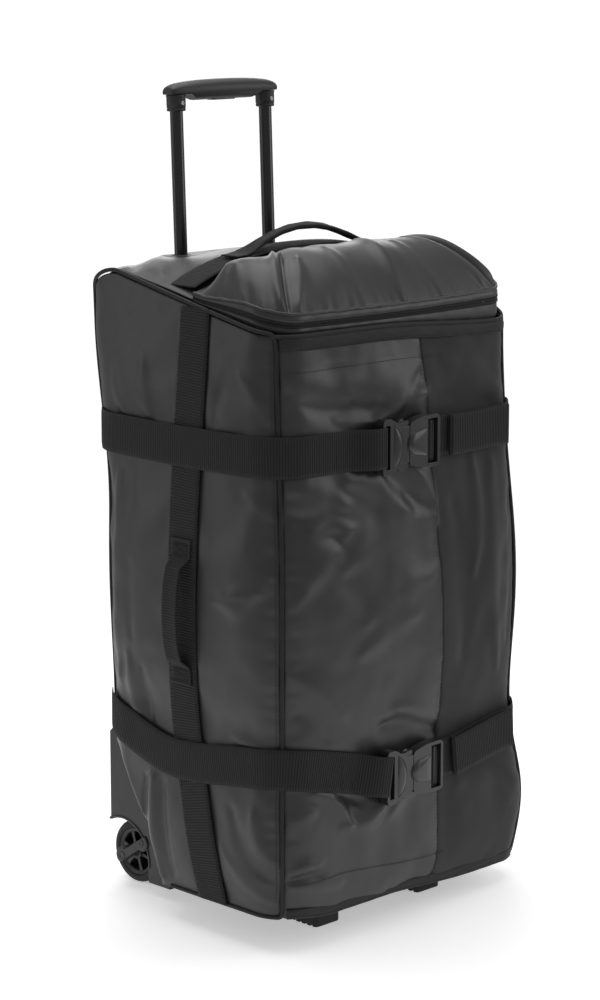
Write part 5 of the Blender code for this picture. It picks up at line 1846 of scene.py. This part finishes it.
def make_buckle(name, buckle_z):
    """A side-release buckle: socket with crescent boss and side windows, plug with pad and ladder bars."""
    t = share_at(BUCKLE_X, buckle_z)
    points, normals = round_bag(np.array([t]), np.array([buckle_z]))
    centre = points[0] + normals[0] * BUCKLE_STAND
    where = Matrix.Translation(Vector(centre))
    depth, skin = BUCKLE_DEPTH, 0.0035
    outline = rounded(SOCKET_OUTLINE, SOCKET_ROUND)
    socket = prism(name + "_socket_moulding", outline, -depth + 0.001, 0.0, BUCKLE)
    carve(
        socket,
        block("slot", (-0.0452, -0.03, -0.0268), (-0.0378, 0.01, 0.0268), BUCKLE),
        block("mouth", (-0.0260, -depth + skin + 0.001, -0.022), (0.001, -skin, 0.022), BUCKLE),
        block("window", (-0.0250, -depth + skin, -0.04), (-0.0092, -skin, 0.04), BUCKLE),
        block("step", (-0.0150, -depth - 0.002, -0.0400), (0.002, -depth + 0.0026, -0.0225), BUCKLE),
        block("step", (-0.0150, -depth - 0.002, 0.0225), (0.002, -depth + 0.0026, 0.0400), BUCKLE),
    )
    soften(socket, 0.0011)
    crescent = [(max(a, -0.0366), 1.32 * b) for a, b in arc((-0.0372, 0.0), 0.0205, -74, 74, 22)]
    boss = dome("boss", crescent, -depth + 0.0014, 0.0034, BUCKLE)
    edge = np.array([(a + 0.0006, -depth + 0.0009, b) for a, b in crescent])
    lip = tube("lip", edge, 0.0007, BUCKLE, sides=6, lifts=(0.0, -1.0, 0.0))
    socket = join(name + "_socket_moulding", [socket, boss, lip])
    stand_for(place(socket, where), "bag", "buckle_plastic", name + "_buckle_socket")
    plug = prism(name + "_plug_moulding", rounded(PLUG_OUTLINE, 0.004), -depth + 0.0006, 0.0, BUCKLE)
    carve(
        plug,
        block("slot", (0.0285, -0.030, -0.0275), (0.0340, 0.010, 0.0275), BUCKLE),
        block("slot", (0.0385, -0.030, -0.0275), (0.0455, 0.010, 0.0275), BUCKLE),
        block("well", (0.0285, -0.030, -0.0275), (0.0455, -depth + 0.0042, 0.0275), BUCKLE),
    )
    soften(plug, 0.0011)
    pad_outline = [(0.0275, -0.0175), (0.0275, 0.0175)]
    pad_outline += [(a * 1.25 - 0.0035, b) for a, b in arc((0.0125, 0.0), 0.0150, 110, 250, 20)]
    pad = dome("pad", rounded(pad_outline, 0.002, 3), -depth + 0.0010, 0.0036, BUCKLE, rings=9)
    groove = np.array([(a * 1.06 - 0.0008, -depth + 0.0008, b * 1.08) for a, b in pad_outline[2:]])
    ridge = tube("ridge", groove, 0.0006, BUCKLE, sides=6, lifts=(0.0, -1.0, 0.0))
    bar = turned("bar", [(0.0, -0.0275), (0.0021, -0.0275), (0.0021, 0.0275), (0.0, 0.0275)], 14, BUCKLE,
                 centre=(0.0363, -depth + 0.0052, 0.0), closed=False)
    plug = join(name + "_plug_moulding", [plug, pad, ridge, bar])
    stand_for(place(plug, where), "bag", "buckle_plastic", name + "_buckle_plug")
    for label, outline in (("top", PRONG_OUTLINE), ("bottom", mirrored(PRONG_OUTLINE))):
        piece = f"{name}_prong_moulding_{label}"
        prong = prism(piece, outline, -depth + skin + 0.0006, -skin - 0.0006, BUCKLE)
        soften(prong, 0.0010)
        sign = 1.0 if label == "top" else -1.0
        ribs = []
        for k in range(3):
            a = -0.0133 - 0.0017 * k
            low, high = sorted((sign * 0.0308, sign * 0.0316))
            start = (a, -depth + skin + 0.0012, low)
            ribs.append(block("rib", start, (a + 0.0007, -skin - 0.0012, high), BUCKLE))
        prong = join(piece, [prong] + ribs)
        stand_for(place(prong, where), f"{name}_prong_{label}", "buckle_plastic", f"{name}_prong_{label}")


make_buckle("upper", UPPER_STRAP_Z)
make_buckle("lower", LOWER_BUCKLE_Z)


# Zip slider and pull


SLIDER_SHARE = 0.86


def make_slider():
    """The zip slider parked on the right, and its pull hanging from it."""
    base, normals, share = lid_frame(np.array([SLIDER_SHARE]))
    spot = base[0] + np.array([0, 0, ZIP_RISE * share[0]])
    turn = math.atan2(normals[0][1], normals[0][0])
    where = Matrix.Translation(Vector(spot)) @ Matrix.Rotation(turn, 4, "Z")
    top = rounded(((0.0030, -0.0072), (0.0095, -0.0052), (0.0095, 0.0052), (0.0030, 0.0072)), 0.002)
    body = prism("zip_slider_body", top, -0.0052, 0.0052, SLIDER, axis="Z")
    soften(body, 0.0009)
    arch = np.array([
        (0.0085, 0.0, 0.0046), (0.0105, 0.0, 0.0050), (0.0117, 0.0, 0.0042),
        (0.0117, 0.0, 0.0030), (0.0104, 0.0, 0.0022), (0.0085, 0.0, 0.0020),
    ])
    bridge = tube("bridge", arch, 0.0007, SLIDER, lifts=(0.0, 1.0, 0.0))
    body = join("zip_slider_body", [body, bridge])
    stand_for(place(body, where), "bag", "slider", "zip_slider")
    outline = ((-0.0022, 0.0009), (0.0022, 0.0009), (0.0035, -0.012), (0.0035, -0.033), (0.0, -0.036),
               (-0.0035, -0.033), (-0.0035, -0.012))
    pull = prism("zip_pull_tab", rounded(outline, 0.0016, 4), -0.0011, 0.0011, SLIDER, axis="X")
    window = rounded(((-0.0016, -0.015), (0.0016, -0.015), (0.0016, -0.026), (-0.0016, -0.026)), 0.001)
    carve(pull, prism("window", window, -0.01, 0.01, SLIDER, axis="X"))
    soften(pull, 0.0004, 2)
    place(pull, where @ Matrix.Translation((0.0115, 0.0, 0.0035)))
    stand_for(pull, "zip_pull", "slider", "zip_pull")


make_slider()


# Trolley, in its own leaning frame

TROLLEY = Matrix.Translation((0.0, TUBE_FLOOR_Y, 0.0)) @ Matrix.Rotation(-LEAN, 4, "X")
INNER_TUBE = (0.640, COLLAR_TOP)
OUTER_TUBE = (0.0725, 0.778)
COLLAR_FOOT = 0.9950
INNER_RADIUS = 0.0083
OUTER_RADIUS = 0.0107
COLLAR_RADIUS = 0.0122
GRIP_HALF = 0.095
GRIP_CENTRE = 1.0230


def tube_centre(side):
    return (side * TUBE_SPACING / 2, 0.0, 0.0)


def pipe(name, radius, low, high, centre):
    """A drawn tube with eased ends, and rings along it so that its shading stays even."""
    bore = radius - 0.0012
    levels = np.linspace(low + 0.0006, high - 0.0006, 24)
    profile = [(radius - 0.0004, low)] + [(radius, level) for level in levels] + [(radius - 0.0004, high)]
    profile += [(bore, high), (bore, low)]
    return turned(name, profile, 48, TUBE, centre=centre)


def make_grip():
    """A soft-moulded grip: arched above, sagging a little below, flattened where it sits on the collars."""
    t = np.linspace(-1, 1, 121)
    x = (GRIP_HALF - 0.003) * np.sin(t * math.pi / 2)
    top = np.sqrt(np.maximum(0.0, 1 - np.abs(t) ** 2.0))
    low = np.sqrt(np.maximum(0.0, 1 - np.abs(t) ** 4.0))
    angle = np.linspace(0, math.tau, 56, endpoint=False)
    cos, sin = np.cos(angle)[None, :], np.sin(angle)[None, :]
    cos_flat = np.sign(cos) * np.abs(cos) ** 0.88
    tall = np.where(sin > 0, 0.0125 * np.maximum(top, 0.16)[:, None], 0.0132 * np.maximum(low, 0.16)[:, None])
    deep = 0.0155 * mix(np.maximum(top, 0.16), 1.0, 0.35)[:, None]
    z = GRIP_CENTRE - 0.0020 - 0.0020 * np.abs(t)[:, None] ** 2 + tall * sin
    seat = mix(1.0060, COLLAR_TOP + 0.0004, ease((np.abs(x) - 0.045) / 0.018))[:, None]
    grooves = 0.00035 * (np.abs(np.sin(angle * 2 + 0.4)) ** 30)[None, :]
    deep = deep - grooves
    z = np.maximum(z, seat)
    points = stack(x[:, None] + 0 * sin, deep * cos_flat, z)
    faces = [list(face) for face in grid_faces(len(t), len(angle), closed=True)]
    faces += [list(range(len(angle))), [index + (len(t) - 1) * len(angle) for index in range(len(angle))]]
    grip = mesh_object("grip_moulding", points, faces, PLASTIC)
    fix_normals(grip)
    carve(grip, block("room", (-0.0206, -0.0076, 0.99), (0.0206, 0.0076, 1.0213), PLASTIC))
    stand_for(place(grip, TROLLEY), "trolley_handle", "moulded_plastic", "handle_grip")
    outline = rounded(((-0.0199, -0.0069), (0.0199, -0.0069), (0.0199, 0.0069), (-0.0199, 0.0069)), 0.004)
    button = prism("release_button_moulding", outline, 1.0068, 1.0178, BUCKLE, axis="Z")
    soften(button, 0.0012)
    stand_for(place(button, TROLLEY), "release_button", "buckle_plastic", "release_button")


def make_collar(side, name):
    """Clamping collar with a screw on its front."""
    centre = tube_centre(side)
    foot, top, seat = COLLAR_FOOT, COLLAR_TOP, INNER_RADIUS + 0.0003
    radius = COLLAR_RADIUS
    profile = [
        (seat, foot), (radius - 0.0014, foot), (radius - 0.0004, foot + 0.0006),
        (radius - 0.0001, foot + 0.0030), (radius - 0.0006, foot + 0.0034), (radius - 0.0006, foot + 0.0042),
        (radius - 0.0001, foot + 0.0046), (radius, foot + 0.0100), (radius, top - 0.0030),
        (radius + 0.0006, top - 0.0010), (radius + 0.0004, top), (seat, top),
    ]
    collar = turned("collar_moulding_" + name, profile, 56, PLASTIC, centre=centre)
    stand_for(place(collar, TROLLEY), "trolley_handle", "moulded_plastic", "handle_collar_" + name)
    face = -COLLAR_RADIUS
    head = [(0.0, face - 0.0003), (0.0010, face - 0.0003), (0.0012, face - 0.0011), (0.0019, face - 0.0011),
            (0.0026, face - 0.0006), (0.0027, face - 0.0002), (0.0027, face + 0.0004), (0.0, face + 0.0004)]
    screw = turned("collar_screw_head_" + name, head, 28, STEEL, axis="Y",
                   centre=(centre[0], 0.0, foot + 0.010), closed=False)
    stand_for(place(screw, TROLLEY), "trolley_handle", "steel", "collar_screw_" + name)


BEZEL_OUTLINE = (
    (-0.112, 0.7785), (0.112, 0.7785), (0.112, 0.8000), (0.098, 0.8150), (-0.098, 0.8150), (-0.112, 0.8000),
)


def make_bezel():
    """Moulded plate that the tubes slide out of, with a raised lip round each hole."""
    outline = rounded(BEZEL_OUTLINE, (0.001, 0.001, 0.010, 0.012, 0.012, 0.010))
    bezel = prism("bezel_moulding", outline, -0.021, 0.021, PLASTIC)
    hole = INNER_RADIUS + 0.0006
    hole_profile = [(0.0, 0.7), (hole, 0.7), (hole, 0.9), (0.0, 0.9)]
    centres = [tube_centre(side) for side in (-1, 1)]
    carve(bezel, *[turned("hole", hole_profile, 40, PLASTIC, centre=c, closed=False) for c in centres])
    soften(bezel, 0.0026, 4, 50.0)
    inner = INNER_RADIUS + 0.0005
    lip = [(inner, 0.8125), (inner + 0.0042, 0.8125), (inner + 0.0038, 0.8154), (inner + 0.0006, 0.8157)]
    rings = [turned("ring", lip, 44, PLASTIC, centre=c) for c in centres]
    bezel = join("bezel_moulding", [bezel] + rings)
    stand_for(place(bezel, TROLLEY), "bag", "moulded_plastic", "trolley_bezel")


def make_trolley():
    """Both pairs of tubes, the collars, the grip with its button, and the bezel."""
    for side, name in SIDES:
        centre = tube_centre(side)
        inner = pipe("inner_pipe_" + name, INNER_RADIUS, *INNER_TUBE, centre)
        stand_for(place(inner, TROLLEY), "trolley_handle", "tube", "inner_tube_" + name)
        outer = pipe("outer_pipe_" + name, OUTER_RADIUS, *OUTER_TUBE, centre)
        stand_for(place(outer, TROLLEY), "bag", "tube", "outer_tube_" + name)
        make_collar(side, name)
    make_grip()
    make_bezel()


make_trolley()


# Wheels

HUB_FACES = (0.1325, 0.1545)
TYRE_FACES = (0.131, 0.156)
WHEEL_CENTRE = (WHEEL_Y, WHEEL_RADIUS)
ARM_TOP = (0.122, 0.067)
SPOKES = 6


def smooth_outline(marks, steps):
    """A smooth open line through marks."""
    marks = np.array(marks, float)
    run = travelled(marks)
    line = interpolated(np.linspace(0, run[-1], steps), run, marks)
    return [tuple(p) for p in smooth_line(line, 8)]


def make_housing(side, name):
    """Moulded wheel housing: an arch over the wheel, a recess for the arm, and a lip and flange."""
    front = smooth_outline(list(zip(HOUSING_Y, HOUSING_Z)), 34)
    outline = front + [(0.1720, 0.2150), (0.1830, 0.2040), (0.1830, 0.0160)]
    inner, outer = sorted((side * HOUSING_INNER_X, side * HOUSING_OUTER_X))
    housing = prism("housing_moulding_" + name, outline, inner, outer, PLASTIC, axis="X")
    radius = WHEEL_RADIUS + 0.0075
    arch = [(WHEEL_Y - radius, -0.01)] + arc(WHEEL_CENTRE, radius, 180, 60, 26)
    arch += [(0.205, arch[-1][1]), (0.205, -0.01)]
    room = prism("room", arch, *sorted((side * 0.124, side * 0.20)), PLASTIC, axis="X")
    recess = arc(WHEEL_CENTRE, 0.0119, -62, 118, 14) + arc(ARM_TOP, 0.0119, 118, 298, 14)
    seat = prism("seat", recess, *sorted((side * 0.1607, side * 0.20)), PLASTIC, axis="X")
    carve(housing, room, seat)
    soften(housing, 0.0028, 4, 30.0)
    mouth = arc(WHEEL_CENTRE, radius + 0.0022, 186, 62, 40)
    lip_line = np.array([(side * (HOUSING_OUTER_X + 0.0002), y, z) for y, z in mouth])
    lip = tube("lip", lip_line, 0.0016, PLASTIC, sides=10, squash=0.8, lifts=(1.0, 0.0, 0.0))
    flange = np.array([(side * (HOUSING_OUTER_X + 0.0003), y + 0.0022, z) for y, z in front[2:-1]])
    edge = tube("edge", flange, 0.0017, PLASTIC, sides=10, squash=0.8, lifts=(1.0, 0.0, 0.0))
    housing = join("housing_moulding_" + name, [housing, lip, edge])
    stand_for(housing, "bag", "moulded_plastic", "wheel_housing_" + name)


AXLE_PROFILE = (
    (0.0, 0.1169), (0.0036, 0.1169), (0.0040, 0.1175), (0.0040, 0.1645), (0.0036, 0.1651), (0.0, 0.1651),
)


def make_arm(side, name):
    """The arm that carries the axle's outer end, with a cap over each fastening, and the axle."""
    ends = arc(WHEEL_CENTRE, 0.0115, -62, 118, 16) + arc(ARM_TOP, 0.0115, 118, 298, 16)
    arm = prism("arm_moulding_" + name, ends, *sorted((side * 0.1610, side * 0.1795)), PLASTIC, axis="X")
    soften(arm, 0.0030, 5, 50.0)
    caps = []
    face = 0.1793
    for centre, radius in ((WHEEL_CENTRE, 0.0060), (ARM_TOP, 0.0046)):
        profile = [
            (0.0, face - 0.001), (radius, face - 0.001), (radius, face + 0.0005),
            (radius - 0.0008, face + 0.0010), (radius - 0.0018, face + 0.0004), (0.0, face + 0.0004),
        ]
        caps.append(turned("cap", [(r, side * level) for r, level in profile], 28, PLASTIC, axis="X",
                           centre=(0.0, *centre), closed=False))
    arm = join("arm_moulding_" + name, [arm] + caps)
    stand_for(arm, "bag", "moulded_plastic", "axle_arm_" + name)
    pin = [(r, side * level) for r, level in AXLE_PROFILE]
    axle = turned("axle_pin_" + name, pin, 28, STEEL, axis="X", centre=(0.0, *WHEEL_CENTRE), closed=False)
    stand_for(axle, "bag", "steel", "axle_" + name)


SPOKE_HALF = ((0.0092, -0.0030), (0.0180, -0.0022), (0.0264, -0.0034))
SPOKE_OUTLINE = SPOKE_HALF + mirrored(SPOKE_HALF)


def make_wheel(side, name):
    """Hub of a sleeve, a rim and six spokes; tyre with two grooves round its tread."""
    centre = (0.0, *WHEEL_CENTRE)
    low, high = HUB_FACES

    def ring(profile, material, label):
        profile = [(r, side * level) for r, level in profile]
        return turned(label, profile, 72, material, axis="X", centre=centre)

    sleeve = ring([
        (0.0043, low), (0.0095, low), (0.0100, low + 0.0006), (0.0100, high - 0.0006), (0.0095, high),
        (0.0060, high), (0.0054, high - 0.0008), (0.0043, high - 0.0008),
    ], PLASTIC, "sleeve")
    rim_part = ring([
        (0.0258, low + 0.002), (0.0268, low), (0.0306, low), (0.0310, low + 0.0006),
        (0.0310, high - 0.0006), (0.0306, high), (0.0290, high), (0.0284, high - 0.0012),
        (0.0268, high - 0.0012), (0.0258, high - 0.003),
    ], PLASTIC, "rim_part")
    spokes = []
    faces = sorted((side * (low + 0.002), side * (high - 0.0016)))
    for k in range(SPOKES):
        angle = math.tau * k / SPOKES + 0.21
        spoke = prism("spoke", SPOKE_OUTLINE, *faces, PLASTIC, axis="X")
        soften(spoke, 0.0008, 2)
        place(spoke, Matrix.Translation(centre) @ Matrix.Rotation(angle, 4, "X"))
        spokes.append(spoke)
    hub = join("hub_moulding_" + name, [sleeve, rim_part] + spokes)
    stand_for(hub, "wheel_" + name, "moulded_plastic", "wheel_hub_" + name)
    low, high = TYRE_FACES
    groove = WHEEL_RADIUS - 0.0008
    tread = [
        (0.0313, low + 0.0008), (0.0345, low), (0.0375, low + 0.0002), (0.0396, low + 0.0016),
        (0.0409, low + 0.0040), (WHEEL_RADIUS, low + 0.0070), (WHEEL_RADIUS, low + 0.0082),
        (groove, low + 0.0086), (groove, low + 0.0092), (WHEEL_RADIUS, low + 0.0096),
    ]
    mirror = [(r, low + high - level) for r, level in reversed(tread)]
    tyre = ring(tread + mirror, TYRE, "tyre_" + name)
    tyre.name = "tyre_rubber_" + name
    stand_for(tyre, "wheel_" + name, "tyre", "tyre_" + name)


def make_foot(side, name):
    """A rubber block with grooves across its sole."""
    x0, x1 = sorted((side * 0.0712, side * 0.1138))
    plan = rounded(((x0, -0.1300), (x1, -0.1300), (x1, -0.0862), (x0, -0.0862)), 0.006)
    foot = prism("foot_block_" + name, plan, 0.0, BASE_Z - 0.0004, FOOT, axis="Z")
    grooves = []
    for y in (-0.1225, -0.1130, -0.1035, -0.0940):
        grooves.append(block("groove", (x0 - 0.01, y, -0.01), (x1 + 0.01, y + 0.0030, 0.0024), FOOT))
    carve(foot, *grooves)
    soften(foot, 0.0016, 3)
    stand_for(foot, "bag", "rubber", "foot_" + name)


for side, name in SIDES:
    make_housing(side, name)
    make_arm(side, name)
    make_wheel(side, name)
    make_foot(side, name)
for label in ("side_cloth_left", "side_cloth_right"):
    clear_housings(bpy.data.objects[label])


# Inside pieces keep the CAD's shape


def finish_nodes():
    """Materials for the lining and the stiff parts behind it, which keep their CAD meshes."""
    kinds = {"inner_liner": LINING, "back_board": PLASTIC, "trolley_bracket": PLASTIC}
    for name, material in kinds.items():
        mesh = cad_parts[name].data
        mesh.materials.clear()
        mesh.materials.append(material)


finish_nodes()


# Stage


def area_light(name, place, target, size, power):
    """A soft box that the camera doesn't see."""
    data = bpy.data.lights.new(name, "AREA")
    data.shape = "RECTANGLE"
    data.size, data.size_y = size
    data.energy = power
    obj = bpy.data.objects.new(name, data)
    obj.location = place
    direction = Vector(target) - Vector(place)
    obj.rotation_mode = "QUATERNION"
    obj.rotation_quaternion = direction.to_track_quat("-Z", "Y")
    obj.visible_camera = False
    bpy.context.scene.collection.objects.link(obj)


FLOOR_FADE = (0.9, 1.9)


def floor_material():
    """Pale board that fades into the white surroundings away from the bag."""
    material, tree, shader = surface("floor", 0.7, Emission_Strength=0.42)
    shader.inputs["Emission Color"].default_value = (1, 1, 1, 1)
    place = object_place(tree)
    shade(tree, shader, noise(tree, place, 3.0), (0.86, 0.86, 0.86), (0.89, 0.89, 0.89))
    distance = node(tree, "VectorMath", {0: place}, out=1, operation="LENGTH")
    tree.links.new(remap(tree, distance, *FLOOR_FADE, 1.0, 0.0), shader.inputs["Alpha"])
    return material


def make_surroundings():
    """White behind the bag, and a dimmer room round it, so that the soft boxes shape the cloth."""
    world = bpy.data.worlds.new("studio")
    world.use_nodes = True
    tree = world.node_tree
    seen = node(tree, "LightPath")
    strength = remap(tree, seen, 0.0, 1.0, ROOM_LIGHT, 1.05)
    tree.links.new(strength, tree.nodes["Background"].inputs["Strength"])
    tree.nodes["Background"].inputs["Color"].default_value = (1, 1, 1, 1)
    bpy.context.scene.world = world


ROOM_LIGHT = 0.42


def make_stage():
    """Pale floor and soft boxes: overhead, behind, and one on each side of the camera."""
    size = FLOOR_FADE[1] + 0.2
    corners = [(-size, -size, 0), (size, -size, 0), (size, size, 0), (-size, size, 0)]
    mesh_object("floor", corners, [(0, 1, 2, 3)], floor_material())
    make_surroundings()
    middle = (0.0, 0.0, 0.45)
    area_light("overhead", (0.1, 0.4, 2.9), middle, (2.6, 2.6), 48.0)
    area_light("behind", (2.4, 2.8, 1.7), middle, (2.6, 1.4), 30.0)
    area_light("left_strip", (-2.2, 2.0, 1.1), middle, (1.2, 2.2), 8.0)
    area_light("right_box", (2.3, -2.0, 1.5), middle, (1.5, 2.0), 19.0)


def make_camera():
    """A long lens at the left front, a little above the bag."""
    azimuth, elevation = math.radians(44.9), math.radians(11.2)
    back = Vector((
        -math.sin(azimuth) * math.cos(elevation),
        -math.cos(azimuth) * math.cos(elevation),
        math.sin(elevation),
    ))
    data = bpy.data.cameras.new("camera")
    data.sensor_width = 36.0
    data.lens = 101.1
    camera = bpy.data.objects.new("camera", data)
    camera.location = (-2.472, -2.468, 1.200)
    camera.rotation_mode = "QUATERNION"
    camera.rotation_quaternion = (-back).to_track_quat("-Z", "Y")
    bpy.context.scene.collection.objects.link(camera)
    bpy.context.scene.camera = camera


make_stage()
make_camera()
bpy.context.scene.view_settings.view_transform = "Standard"
